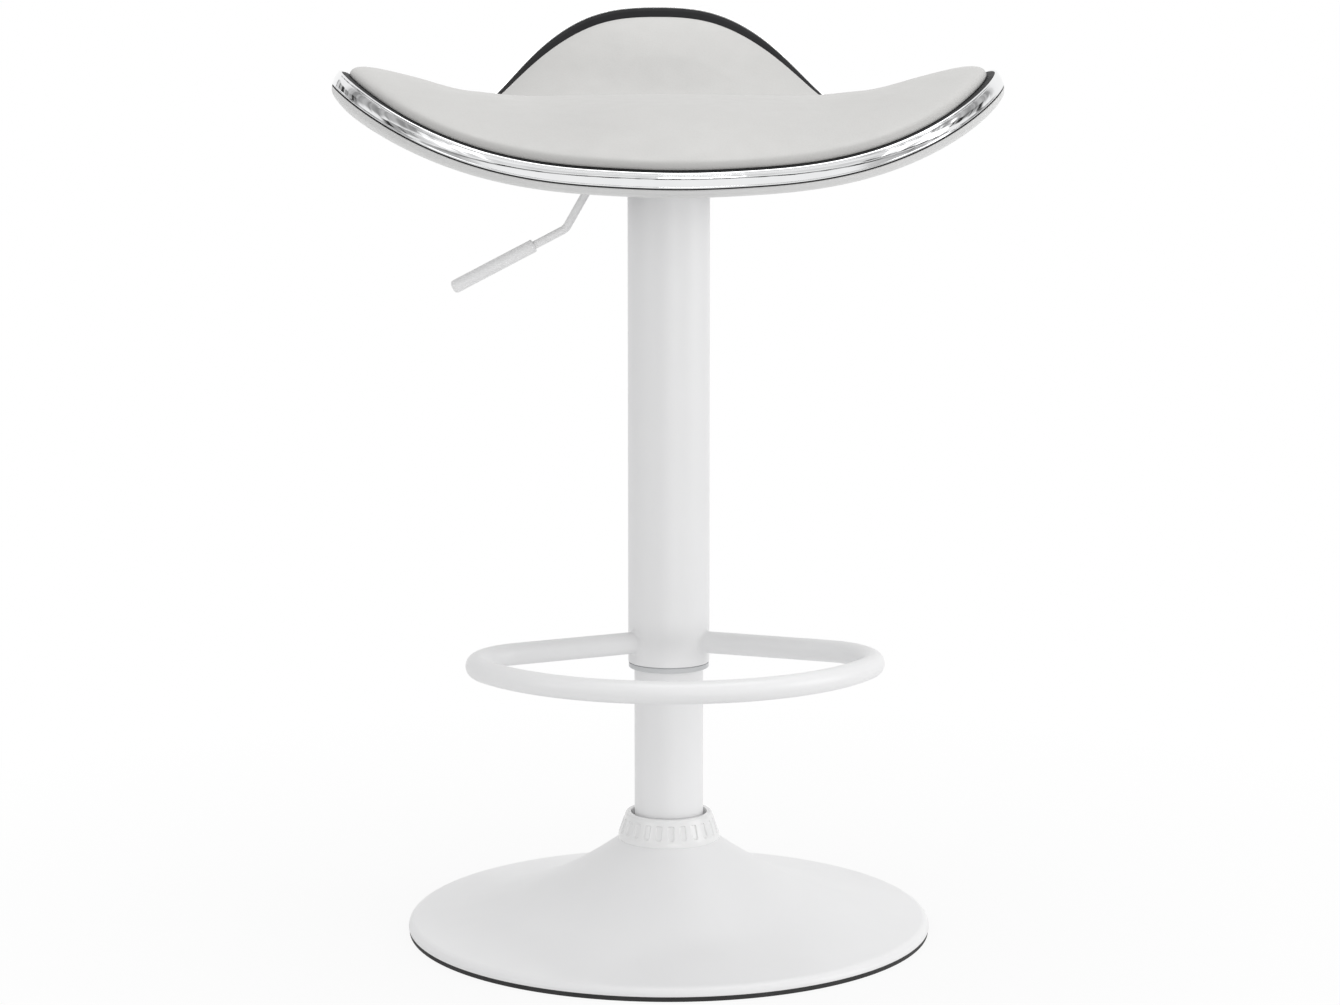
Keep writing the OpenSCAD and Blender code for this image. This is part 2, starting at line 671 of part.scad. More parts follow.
// Mechanism
module bolt_place(i) {
  translate([bolt_places[i][0] * bolt_pitch / 2, bolt_places[i][1] * bolt_pitch / 2, 0]) children();
}

module bolt_holes(low_z, high_z, r) {
  for (i = [0 : 3]) bolt_place(i)
    translate([0, 0, low_z - cut]) cylinder(h = high_z - low_z + 2 * cut, r = r, $fn = 32);
}

module rounded_plate(w, l, h, r) {
  linear_extrude(height = h) union() {
    square([w - 2 * r, l], center = true);
    square([w, l - 2 * r], center = true);
    for (x = [-1, 1], y = [-1, 1]) translate([x * (w / 2 - r), y * (l / 2 - r)]) circle(r = r, $fn = 48);
  }
}

module mount_plate() {
  color([0.2, 0.2, 0.21]) difference() {
    translate([0, 0, plate_z]) rounded_plate(plate_w, plate_w, plate_t, plate_corner_r);
    bolt_holes(plate_z, plate_z + plate_t, bolt_r + layer_gap);
  }
}

module mechanism_box() {
  corner_r = box_wall * 3;
  color([0.2, 0.2, 0.21]) {
    difference() {
      translate([0, 0, box_z]) rounded_plate(box_l, box_w, box_h, corner_r);
      translate([0, 0, box_z + box_wall])
        rounded_plate(box_l - 2 * box_wall, box_w - 2 * box_wall, box_h, corner_r - box_wall);
      translate([0, 0, box_z - cut]) cylinder(h = box_wall + 2 * cut, r = socket_r + weld_fit, $fn = 64);
      translate([-box_l / 2 - cut, -slot_w / 2, lever_z - lever_r - box_wall])
        cube([box_wall + 2 * cut, slot_w, box_h]);
    }
    for (side = [-1, 1])
      translate([-pivot_x, side * (hub_w / 2 + ear_gap + ear_t / 2), 0]) ear();
  }
}

module ear() {
  half = hub_r;
  low_z = box_z + box_wall;
  difference() {
    translate([-half, -ear_t / 2, low_z]) cube([2 * half, ear_t, lever_z + pivot_r * 2 - low_z]);
    translate([0, 0, lever_z]) rotate([90, 0, 0])
      cylinder(h = ear_t + 2 * cut, r = pivot_r + weld_fit, center = true, $fn = 32);
  }
}

module pivot_pin() {
  color([0.7, 0.7, 0.72]) translate([-pivot_x, 0, lever_z]) rotate([90, 0, 0])
    cylinder(h = hub_w + 2 * (ear_gap + ear_t) + pivot_r, r = pivot_r, center = true, $fn = 32);
}

module spacer(i) {
  color([0.6, 0.6, 0.62]) bolt_place(i) difference() {
    translate([0, 0, shell_in_z]) cylinder(h = board_low_z - shell_in_z, r = spacer_r, $fn = 32);
    translate([0, 0, shell_in_z - cut])
      cylinder(h = board_low_z - shell_in_z + 2 * cut, r = bolt_r + layer_gap, $fn = 32);
  }
}

module seat_bolt(i) {
  color([0.7, 0.7, 0.72]) bolt_place(i) {
    translate([0, 0, plate_z]) cylinder(h = nut_top_z - plate_z - nut_flange_t / 2, r = bolt_r, $fn = 32);
    difference() {
      translate([0, 0, plate_z - bolt_head_h]) cylinder(h = bolt_head_h, r = bolt_head_r, $fn = 32);
      translate([0, 0, plate_z - bolt_head_h - cut])
        cylinder(h = cut + bolt_head_h / 2, r = bolt_r / 2, $fn = 6);
    }
  }
}

module tee_nut(i) {
  color([0.7, 0.7, 0.72]) bolt_place(i) difference() {
    union() {
      translate([0, 0, board_low_z]) cylinder(h = nut_top_z - board_low_z, r = nut_barrel_r, $fn = 32);
      translate([0, 0, nut_top_z - nut_flange_t]) cylinder(h = nut_flange_t, r = nut_flange_r, $fn = 32);
    }
    translate([0, 0, board_low_z - cut])
      cylinder(h = board_t + 2 * cut, r = bolt_r + weld_fit, $fn = 32);
  }
}

// Seat layers
module seat_board() {
  rows = concat(
    [for (s = inner_shares) [s, board_out, 0]],
    [[1, board_out, 0], [1, board_out, -board_t]],
    [for (i = [len(inner_shares) - 1 : -1 : 0]) [inner_shares[i], board_out, -board_t]]);
  color([0.75, 0.62, 0.42]) difference() {
    rim_slab(rows, 0, -board_t, len(inner_shares) + 1, true);
    bolt_holes(board_low_z, pan_z, nut_barrel_r + weld_fit);
    for (i = [0 : 3]) bolt_place(i)
      translate([0, 0, nut_top_z - nut_flange_t - weld_fit])
        cylinder(h = nut_flange_t + cut, r = nut_flange_r + layer_gap, $fn = 32);
  }
}

module chrome_trim() {
  inner = [for (i = [len(trim_face) - 1 : -1 : 0]) trim_face[i] - [trim_t, 0]];
  color([0.8, 0.82, 0.84]) rim_band(concat(trim_face, inner), len(trim_face));
}

module edge_strip() {
  section = [
    [strip_in, layer_gap * 2], [strip_out, -layer_gap],
    [strip_out, -trim_h - layer_gap], [-layer_gap, -trim_h - layer_gap],
    [-layer_gap, -trim_h - trim_t + layer_gap], [strip_in, -trim_h - trim_t + layer_gap],
    [strip_in, -board_t]];
  color([0.07, 0.07, 0.07]) rim_band(section, len(section) - 2);
}

module under_shell() {
  drop = shell_drop + shell_top;
  outer = [for (p = shell_shares) [1, -turn_w * p[0] - layer_gap, shell_top - drop * p[1]]];
  inner = [for (p = shell_shares) [1, -turn_w * p[0] - layer_gap - shell_t * (1 - p[0]),
    shell_top - (drop - shell_t) * p[1]]];
  edge = -turn_w - layer_gap;
  rows = concat(
    [for (i = [len(shell_inner_shares) - 1 : -1 : 0]) [shell_inner_shares[i], edge, -shell_drop + shell_t]],
    [for (i = [len(inner) - 1 : -1 : 0]) inner[i]],
    outer,
    [for (s = shell_inner_shares) [s, edge, -shell_drop]]);
  color([0.9, 0.9, 0.9]) difference() {
    rim_slab(rows, -shell_drop + shell_t, -shell_drop, len(rows) - len(shell_inner_shares) - 1, true);
    bolt_holes(pan_z - shell_drop, shell_in_z, bolt_r + layer_gap);
  }
}

// Cushion: a crowned top, a rolled edge that is drawn in at its foot, and an underside on the board
module cushion() {
  top = [for (s = pad_top_shares) [s, pad_out, soft_gap + pad_edge_t + pad_crown * (1 - s * s)]];
  roll = [for (p = roll_shares) [1, pad_out - pad_roll_w * p[0], soft_gap + pad_edge_t * p[1]]];
  low = [for (i = [len(inner_shares) - 1 : -1 : 0]) [inner_shares[i], pad_out, soft_gap]];
  color([0.8, 0.8, 0.79])
    rim_slab(concat(top, roll, low), soft_gap + pad_edge_t + pad_crown, soft_gap,
      len(top) + len(roll) - 1, false);
}

// Lever: straight runs joined by bends, in the XZ plane
function turn_angle(p) =
  let(u = unit(p[1] - p[0]), v = unit(p[2] - p[1])) atan2(u[0] * v[1] - u[1] * v[0], u * v);
function bend_rows(p, r, n) =
  let(u = unit(p[1] - p[0]), a = turn_angle(p), side = sign(a), back = r * tan(abs(a) / 2),
    c = p[1] - u * back + side * r * [-u[1], u[0]], heading = atan2(u[1], u[0]))
  arc_rows(c, r, heading - side * 90, heading - side * 90 + a, n);

module lever_rod() {
  q = lever_route;
  u = unit(q[3] - q[2]);
  last = q[3] - u * lever_r * 2;
  path = concat(
    [[q[0][0], q[0][1], 180]],
    bend_rows([q[0], q[1], q[2]], lever_bend_r, bend_steps),
    bend_rows([q[1], q[2], q[3]], lever_bend_r, bend_steps),
    [[last[0], last[1], atan2(u[1], u[0])]]);
  color([0.93, 0.93, 0.93]) difference() {
    union() {
      rotate([90, 0, 0]) swept_tube(path, lever_r, lever_sides);
      translate([-pivot_x, 0, lever_z]) rotate([90, 0, 0])
        cylinder(h = hub_w, r = hub_r, center = true, $fn = 32);
    }
    translate([-pivot_x, 0, lever_z]) rotate([90, 0, 0])
      cylinder(h = hub_w + 2 * cut, r = pivot_r + fit_gap, center = true, $fn = 32);
  }
}

module lever_grip() {
  tip = lever_route[3];
  u = unit(tip - lever_route[2]);
  start = tip - u * grip_l;
  nose_r = grip_r * 0.35;
  section = [
    [lever_r + weld_fit, 0], [grip_r - nose_r, 0], [grip_r, nose_r], [grip_r, grip_l - nose_r * 2],
    [grip_r - nose_r * 0.6, grip_l - nose_r * 0.5], [grip_r - nose_r * 2, grip_l], [0, grip_l],
    [0, grip_l - lever_r], [lever_r + weld_fit, grip_l - lever_r]];
  color([0.93, 0.93, 0.93]) rotate([90, 0, 0])
    translate([start[0], start[1], 0]) rotate([0, 0, atan2(u[1], u[0])]) rotate([0, 90, 0])
      rotate_extrude($fn = 48) polygon(section);
}

module release_pin() {
  color([0.75, 0.75, 0.77]) translate([0, 0, pin_top_z - pin_len]) cylinder(h = pin_len, r = pin_r, $fn = 32);
}

floor_ring();
base_dish();
base_plate();
column();
column_flange();
flange_screw(0);  // flange_screw_1
flange_screw(1);  // flange_screw_2
flange_screw(2);  // flange_screw_3
flange_screw(3);  // flange_screw_4
column_plug();
column_bush();
thrust_washer();
collar_ring();
thrust_race();
piston_rod();
piston();
rod_clip();
gas_cylinder();
rod_guide();
taper_socket();
lift_tube();
tube_bush();
tube_cap();
footrest();
mount_plate();
mechanism_box();
pivot_pin();
spacer(0);  // spacer_1
spacer(1);  // spacer_2
spacer(2);  // spacer_3
spacer(3);  // spacer_4
seat_bolt(0);  // seat_bolt_1
seat_bolt(1);  // seat_bolt_2
seat_bolt(2);  // seat_bolt_3
seat_bolt(3);  // seat_bolt_4
tee_nut(0);  // tee_nut_1
tee_nut(1);  // tee_nut_2
tee_nut(2);  // tee_nut_3
tee_nut(3);  // tee_nut_4
seat_board();
cushion();
edge_strip();
chrome_trim();
under_shell();
lever_rod();
lever_grip();
release_pin();
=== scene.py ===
"""A height-adjustable bar stool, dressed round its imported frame.

The frame gives the bodies, the joints and the sizes of the solids. The operators below make each visible
piece in the frame's own coordinates (metres, +Z up, the sitter faces -Y), and the stage for the picture.
"""

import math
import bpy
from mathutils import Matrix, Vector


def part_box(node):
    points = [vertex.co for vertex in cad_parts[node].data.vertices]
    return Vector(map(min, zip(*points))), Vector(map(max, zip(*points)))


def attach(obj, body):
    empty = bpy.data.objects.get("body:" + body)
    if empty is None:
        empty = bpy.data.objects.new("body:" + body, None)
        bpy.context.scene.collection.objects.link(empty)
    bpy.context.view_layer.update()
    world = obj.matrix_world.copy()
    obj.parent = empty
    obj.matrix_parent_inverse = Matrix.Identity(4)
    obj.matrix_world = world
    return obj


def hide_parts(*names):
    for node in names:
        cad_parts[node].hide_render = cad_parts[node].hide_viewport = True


bl_info = {
    "name": "Bar stool",
    "version": (1, 0, 0),
    "blender": (4, 5, 0),
    "location": "3D View > Sidebar > Bar stool",
    "description": "Makes the pieces of a gas-lift bar stool and a plain studio round them",
    "category": "Object",
}

import bmesh
import bpy
import numpy as np
from bpy.props import FloatProperty, FloatVectorProperty, IntProperty, PointerProperty
from mathutils import Vector
from mathutils.bvhtree import BVHTree

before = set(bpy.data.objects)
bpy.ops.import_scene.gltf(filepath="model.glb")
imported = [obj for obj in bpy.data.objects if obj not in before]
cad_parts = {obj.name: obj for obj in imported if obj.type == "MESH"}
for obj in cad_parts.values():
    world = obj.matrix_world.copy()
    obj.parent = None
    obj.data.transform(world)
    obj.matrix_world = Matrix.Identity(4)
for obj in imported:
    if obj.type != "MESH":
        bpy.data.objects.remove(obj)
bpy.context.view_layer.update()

MM = 0.001
FULL_TURN = 2 * math.pi
SHARP_ANGLE = math.radians(38)
ALMOST_STRAIGHT = math.radians(89)
MERGE_WITHIN = 2e-6

# Faces round the base, a plain tube, the seat's edge and the cushion
BASE_SEGMENTS, TUBE_SEGMENTS, SEAT_COLUMNS, PAD_COLUMNS = 256, 160, 288, 240

# The seat's rim: its control shares of the half width, RIM_STEP degrees apart from the front to the back
RIM_STEP = 15
RIM_SHARES = np.array(
    [0.764, 0.76, 0.783, 0.845, 0.922, 0.985, 1.007, 0.982, 0.839, 0.798, 0.83, 0.822, 0.799]
)
# The distance over which the board's slope is measured
SLOPE_STEP = 0.5 * MM

# The cushion's rows of points: on its top, round its rolled edge, round its tucked foot and underneath
PAD_TOP_ROWS, PAD_ROLL_ROWS, PAD_TUCK_ROWS, PAD_UNDER_ROWS = 29, 34, 6, 24
PAD_FOOT = PAD_TOP_ROWS + PAD_ROLL_ROWS
# The cloth copy that swells: its voxels, how near the board its points are held, and its frames
PAD_VOXEL, PAD_HELD_WITHIN, PAD_FRAMES = 5 * MM, 4.5 * MM, 20

# The floor of the mechanism's case and the tube's top sit this much higher, behind the shell's lower edge
CASE_RAISE = 3 * MM


def low_of(node, axis=2):
    """Lowest coordinate of a node of the frame along one axis."""
    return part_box(node)[0][axis]


def high_of(node, axis=2):
    """Highest coordinate of a node of the frame along one axis."""
    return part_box(node)[1][axis]


def length(label, about, default):
    """A size in metres."""
    return FloatProperty(name=label, description=about, default=default, min=0, unit="LENGTH", precision=5)


def colour(label, about, default):
    """A colour, in linear light."""
    return FloatVectorProperty(
        name=label, description=about, default=default, size=3, min=0, max=1, subtype="COLOR"
    )


# Sizes and colours


class StoolBase(bpy.types.PropertyGroup):
    """Sizes of the round base and its collar."""

    rim_radius: length("Rim radius", "Outer radius of the dish", high_of("base_dish", 0))
    sheet: length("Sheet", "Thickness of the dish's sheet", 2 * MM)
    edge_radius: length("Edge radius", "Radius of the rounded rim", 6 * MM)
    rim_height: length("Rim height", "Height where the flare starts", 10 * MM)
    rise: length("Rise", "Rise of the flare from the rim to the neck", 57.7 * MM)
    power: FloatProperty(name="Power", description="How fast the flare steepens", default=1.9, min=1, max=4)
    neck_radius: length("Neck radius", "Radius where the flare ends", 37.5 * MM)
    sleeve_radius: length("Sleeve radius", "Outer radius of the sleeve round the column", 27.6 * MM)
    ring_height: length("Floor ring height", "Height of the rubber floor ring", high_of("floor_ring"))
    ring_width: length("Floor ring width", "Width of the rubber floor ring", 5 * MM)
    collar_top_radius: length("Collar top radius", "Radius of the collar at its top", 32 * MM)
    collar_hole_radius: length("Collar hole radius", "Radius of the collar's hole", 28 * MM)
    collar_height: length("Collar height", "Height of the collar", 20 * MM)
    collar_lip: length("Collar lip", "Height of the plain lip at the collar's foot", 3.5 * MM)
    flutes: IntProperty(
        name="Flutes", description="Number of pockets round the collar", default=24, min=3, max=60
    )
    flute_width: length("Flute width", "Width of a pocket", 4.1 * MM)
    flute_depth: length("Flute depth", "Depth of a pocket", 1.1 * MM)


class StoolColumn(bpy.types.PropertyGroup):
    """Sizes of the column, the lift tube and the footrest."""

    radius: length("Column radius", "Outer radius of the fixed column", high_of("column", 0))
    wall: length("Wall", "Wall of both tubes", 1.5 * MM)
    tube_radius: length("Lift tube radius", "Outer radius of the tube that rises", high_of("lift_tube", 0))
    bush_lip: length("Bush lip", "Visible height of the guide bush", 4.2 * MM)
    foot_radius: length("Footrest radius", "Radius of the footrest's tube", 8 * MM)
    foot_reach: length("Footrest reach", "Reach of the front arc ahead of the axis", 196 * MM)
    foot_half_width: length("Footrest half width", "Half width of the loop", 141 * MM)
    foot_front_radius: length("Footrest front radius", "Radius of the front arc", 156 * MM)
    foot_corner_radius: length("Footrest corner radius", "Radius of the two corners", 46 * MM)
    foot_arm_ahead: length("Footrest arm ahead", "How far ahead of the axis each arm passes", 2.6 * MM)
    weld: length("Weld", "Radius of the weld fillets on the tube", 3 * MM)


class StoolLever(bpy.types.PropertyGroup):
    """Sizes of the lever and of its grip."""

    radius: length("Rod radius", "Radius of the lever's rod", 3 * MM)
    bend_radius: length("Bend radius", "Radius of the rod's bends", 9 * MM)
    height: length("Height", "Height of the lever's pivot", 556 * MM)
    pivot: length("Pivot", "Distance of the pivot from the axis", 40 * MM)
    first_bend: length("First bend", "Distance of the first bend from the axis", 55 * MM)
    bend_run: length("Bend run", "Sideways run between the bends", 20 * MM)
    bend_drop: length("Bend drop", "Drop between the bends", 35 * MM)
    tip_run: length("Tip run", "Sideways run from the second bend to the tip", 82.5 * MM)
    tip_drop: length("Tip drop", "Drop from the second bend to the tip", 43 * MM)
    grip_radius: length("Grip radius", "Radius of the grip", 4.9 * MM)
    grip_length: length("Grip length", "Length of the grip", 67 * MM)


class StoolSeat(bpy.types.PropertyGroup):
    """Sizes of the seat's saddle and of its layers."""

    board_height: length("Board height", "Height of the board's flat middle", 591 * MM)
    half_width: length("Half width", "Half width of the seat", 237 * MM)
    side_rise: length("Side rise", "Rise of the side lobes", 45 * MM)
    side_start: length("Side start", "Half width of the flat middle", 56 * MM)
    side_power: FloatProperty(name="Side power", description="How fast the side lobes steepen", default=2.4)
    back_rise: length("Back rise", "Rise of the back lobe", 91 * MM)
    back_start: length("Back start", "Where the back lobe starts to rise", 95.5 * MM)
    back_depth: length("Back depth", "Depth of the seat behind the axis", 191 * MM)
    front_fall: length("Front fall", "Fall of the front edge", 21.5 * MM)
    front_depth: length("Front depth", "Depth of the seat ahead of the axis", 181 * MM)
    trim_height: length("Trim height", "Height of the bright trim", 11 * MM)
    shell_drop: length("Shell drop", "Drop of the shell below the board's top", 25 * MM)
    shell_thickness: length("Shell thickness", "Thickness of the under-shell", 3 * MM)
    shell_turn: length("Shell turn", "Width over which the shell turns under", 44 * MM)
    pad_edge: length("Pad edge", "Thickness of the cushion near its edge, before it swells", 16.2 * MM)
    pad_crown: length("Pad crown", "Extra thickness in the cushion's middle", 5.5 * MM)
    pad_roll: length("Pad roll", "Width of the cushion's rolled edge", 60 * MM)
    pad_swell: length("Pad swell", "Most that the cushion swells", 2.4 * MM)


class StoolColours(bpy.types.PropertyGroup):
    """Colours of the stool's finishes."""

    coat: colour("Powder coat", "White of the base, column and footrest", (0.86, 0.86, 0.865))
    plastic: colour("Collar plastic", "White of the collar", (0.86, 0.86, 0.86))
    shell: colour("Shell", "White of the under-shell", (0.7, 0.7, 0.695))
    leather: colour("Upholstery", "Light grey of the cushion", (0.515, 0.511, 0.5))
    chrome: colour("Chrome", "Tint of the bright trim", (0.85, 0.855, 0.862))
    edge: colour("Edge", "Black of the strip round the board", (0.012, 0.012, 0.013))
    rubber: colour("Rubber", "Black of the floor ring", (0.018, 0.018, 0.018))
    guide: colour("Guide bush", "Grey of the guide bushes", (0.6, 0.61, 0.62))
    steel: colour("Dark steel", "Dark paint of the mechanism", (0.035, 0.035, 0.038))
    zinc: colour("Zinc", "Tint of the plated screws", (0.62, 0.62, 0.6))
    wood: colour("Plywood", "Tint of the seat board", (0.55, 0.38, 0.21))


class StoolSettings(bpy.types.PropertyGroup):
    """All the sizes and colours of the stool."""

    base: PointerProperty(type=StoolBase)
    column: PointerProperty(type=StoolColumn)
    lever: PointerProperty(type=StoolLever)
    seat: PointerProperty(type=StoolSeat)
    colours: PointerProperty(type=StoolColours)


# Nodes


def add_node(tree, kind, inputs=None, **settings):
    """A new node in a tree. inputs maps a socket's name or number to a value or to the socket that feeds it.

    settings are the node's own properties, set before its inputs."""
    node = tree.nodes.new(kind)
    for key, value in settings.items():
        setattr(node, key, value)
    for key, value in (inputs or {}).items():
        if isinstance(value, bpy.types.NodeSocket):
            tree.links.new(value, node.inputs[key])
        else:
            node.inputs[key].default_value = value
    return node


def output_of(tree, kind, inputs=None, **settings):
    """The first output of a new node."""
    return add_node(tree, kind, inputs, **settings).outputs[0]


def maths(tree, operation, *values):
    """The result of a Math node on numbers or sockets."""
    return output_of(tree, "ShaderNodeMath", dict(enumerate(values)), operation=operation)


def tree_with(name, sockets):
    """A Geometry Nodes tree with a geometry input, the named inputs and a geometry output."""
    tree = bpy.data.node_groups.new(name, "GeometryNodeTree")
    tree.interface.new_socket("Geometry", in_out="INPUT", socket_type="NodeSocketGeometry")
    for label, kind in sockets:
        tree.interface.new_socket(label, in_out="INPUT", socket_type="NodeSocket" + kind)
    tree.interface.new_socket("Geometry", in_out="OUTPUT", socket_type="NodeSocketGeometry")
    return tree, tree.nodes.new("NodeGroupInput").outputs


def close_tree(tree, geometry, material):
    """Ends a tree: smooth faces, no instances, one material."""
    smooth = add_node(tree, "GeometryNodeSetShadeSmooth", {"Geometry": geometry})
    real = add_node(tree, "GeometryNodeRealizeInstances", {"Geometry": smooth.outputs[0]})
    painted = add_node(tree, "GeometryNodeSetMaterial", {"Geometry": real.outputs[0], "Material": material})
    add_node(tree, "NodeGroupOutput", {"Geometry": painted.outputs[0]})
    return tree


def grid_places(tree, columns, rows):
    """A grid of columns and rows of points, with each point's column and row."""
    grid = add_node(tree, "GeometryNodeMeshGrid", {"Vertices X": columns, "Vertices Y": rows})
    index = tree.nodes.new("GeometryNodeInputIndex").outputs[0]
    column = maths(tree, "FLOOR", maths(tree, "DIVIDE", maths(tree, "ADD", index, 0.5), rows))
    return grid.outputs["Mesh"], column, maths(tree, "MODULO", index, rows)


def sampled(tree, geometry, value, index):
    """A vector of a geometry's points, read by index."""
    inputs = {"Geometry": geometry, "Value": value, "Index": index}
    return output_of(tree, "GeometryNodeSampleIndex", inputs, data_type="FLOAT_VECTOR", domain="POINT")


def point_count(tree, geometry):
    """The number of a mesh's points."""
    inputs = {"Geometry": geometry}
    return output_of(tree, "GeometryNodeAttributeDomainSize", inputs, component="MESH")


def welded(tree, geometry):
    """A geometry with its seams and poles closed."""
    inputs = {"Geometry": geometry, "Distance": MERGE_WITHIN}
    return output_of(tree, "GeometryNodeMergeByDistance", inputs)


def spun_outline_tree():
    """Turns the object's outline, points in the XZ plane in their order, round the Z axis."""
    tree, given = tree_with("spun_outline", [("Segments", "Int"), ("Material", "Material")])
    rows = point_count(tree, given["Geometry"])
    mesh, column, row = grid_places(tree, maths(tree, "ADD", given["Segments"], 1), rows)
    place = tree.nodes.new("GeometryNodeInputPosition").outputs[0]
    outline = sampled(tree, given["Geometry"], place, row)
    angle = maths(tree, "DIVIDE", maths(tree, "MULTIPLY", column, FULL_TURN), given["Segments"])
    turned = add_node(
        tree, "ShaderNodeVectorRotate", {"Vector": outline, "Angle": angle}, rotation_type="Z_AXIS"
    )
    placed = add_node(tree, "GeometryNodeSetPosition", {"Geometry": mesh, "Position": turned.outputs[0]})
    return close_tree(tree, welded(tree, placed.outputs[0]), given["Material"])


def band_along_rim_tree():
    """Sweeps a section object, points at [out, up] in their order, round the object's rim points."""
    tree, given = tree_with("band_along_rim", [("Section", "Object"), ("Material", "Material")])
    rim = given["Geometry"]
    section = add_node(tree, "GeometryNodeObjectInfo", {"Object": given["Section"]}).outputs["Geometry"]
    count = point_count(tree, rim)
    mesh, column, row = grid_places(tree, maths(tree, "ADD", count, 1), point_count(tree, section))
    column = maths(tree, "MODULO", column, count)
    place = tree.nodes.new("GeometryNodeInputPosition").outputs[0]
    share = add_node(tree, "ShaderNodeSeparateXYZ", {0: sampled(tree, section, place, row)}).outputs
    total = sampled(tree, rim, place, column)
    for label, amount in (("out", share["X"]), ("up", share["Y"])):
        direction = add_node(
            tree, "GeometryNodeInputNamedAttribute", {"Name": label}, data_type="FLOAT_VECTOR"
        ).outputs["Attribute"]
        step = output_of(
            tree,
            "ShaderNodeVectorMath",
            {0: sampled(tree, rim, direction, column), "Scale": amount},
            operation="SCALE",
        )
        total = output_of(tree, "ShaderNodeVectorMath", {0: total, 1: step}, operation="ADD")
    placed = add_node(tree, "GeometryNodeSetPosition", {"Geometry": mesh, "Position": total})
    return close_tree(tree, welded(tree, placed.outputs[0]), given["Material"])


def tube_along_path_tree():
    """Draws a round bar or tube along the object's line of edges."""
    tree, given = tree_with(
        "tube_along_path", [("Radius", "Float"), ("Sides", "Int"), ("Material", "Material")]
    )
    path = output_of(tree, "GeometryNodeMeshToCurve", {"Mesh": given["Geometry"]})
    circle = add_node(
        tree,
        "GeometryNodeCurvePrimitiveCircle",
        {"Resolution": given["Sides"], "Radius": given["Radius"]},
        mode="RADIUS",
    ).outputs["Curve"]
    tube = add_node(
        tree, "GeometryNodeCurveToMesh", {"Curve": path, "Profile Curve": circle, "Fill Caps": True}
    )
    return close_tree(tree, tube.outputs[0], given["Material"])


def ring_of_copies_tree():
    """Sets copies of the object's mesh round the Z axis and welds those that touch."""
    tree, given = tree_with("ring_of_copies", [("Count", "Int"), ("Material", "Material")])
    points = output_of(
        tree, "GeometryNodeMeshLine", {"Count": given["Count"], "Offset": (0, 0, 0)}, mode="OFFSET"
    )
    index = tree.nodes.new("GeometryNodeInputIndex").outputs[0]
    angle = maths(tree, "DIVIDE", maths(tree, "MULTIPLY", index, FULL_TURN), given["Count"])
    turn = output_of(tree, "ShaderNodeCombineXYZ", {"Z": angle})
    copies = output_of(
        tree,
        "GeometryNodeInstanceOnPoints",
        {"Points": points, "Instance": given["Geometry"], "Rotation": turn},
    )
    real = output_of(tree, "GeometryNodeRealizeInstances", {"Geometry": copies})
    return close_tree(tree, welded(tree, real), given["Material"])


TREE_MAKERS = {
    "spun_outline": spun_outline_tree,
    "band_along_rim": band_along_rim_tree,
    "tube_along_path": tube_along_path_tree,
    "ring_of_copies": ring_of_copies_tree,
}


def grow(piece, tree_name, **inputs):
    """Runs a tree on a piece, with its inputs by name, and keeps the result as the piece's plain mesh."""
    tree = bpy.data.node_groups.get(tree_name) or TREE_MAKERS[tree_name]()
    modifier = piece.modifiers.new(tree_name, "NODES")
    modifier.node_group = tree
    for item in tree.interface.items_tree:
        if item.item_type == "SOCKET" and item.in_out == "INPUT" and item.name in inputs:
            modifier[item.identifier] = inputs[item.name]
    keep_result(piece)
    return piece


def keep_result(piece):
    """Replaces a piece's mesh by what its modifiers make of it, and removes them."""
    graph = bpy.context.evaluated_depsgraph_get()
    made = bpy.data.meshes.new_from_object(piece.evaluated_get(graph))
    piece.modifiers.clear()
    old = piece.data
    piece.data = made
    made.name = piece.name
    bpy.data.meshes.remove(old)
    paints = [m for m in made.materials if m]
    if len(paints) == 1:
        made.materials.clear()
        made.materials.append(paints[0])
        made.polygons.foreach_set("material_index", [0] * len(made.polygons))


# Meshes


def linked(name, data):
    """A new object with this data, in the scene."""
    thing = bpy.data.objects.new(name, data)
    bpy.context.scene.collection.objects.link(thing)
    return thing


def new_piece(name, points, faces=(), edges=(), material=None):
    """An object at the origin with a mesh of these points, in metres."""
    mesh = bpy.data.meshes.new(name)
    mesh.from_pydata([tuple(map(float, p)) for p in points], list(edges), list(faces))
    if material:
        mesh.materials.append(material)
    return linked(name, mesh)


def grid_faces(rows, columns, round_rows=False, round_columns=True):
    """The four-sided faces of a grid of points, row by row. Either way, the grid may close on itself."""
    faces = []
    for r in range(rows - 1 + round_rows):
        here, there = r * columns, (r + 1) % rows * columns
        for i in range(columns - 1 + round_columns):
            j = (i + 1) % columns
            faces.append((here + i, here + j, there + j, there + i))
    return faces


def line_piece(name, points):
    """An object that holds a line of points, joined in their order."""
    return new_piece(name, points, edges=[(i, i + 1) for i in range(len(points) - 1)])


def drop(*helpers):
    """Removes helper objects with their meshes."""
    for helper in helpers:
        mesh = helper.data
        bpy.data.objects.remove(helper)
        bpy.data.meshes.remove(mesh)


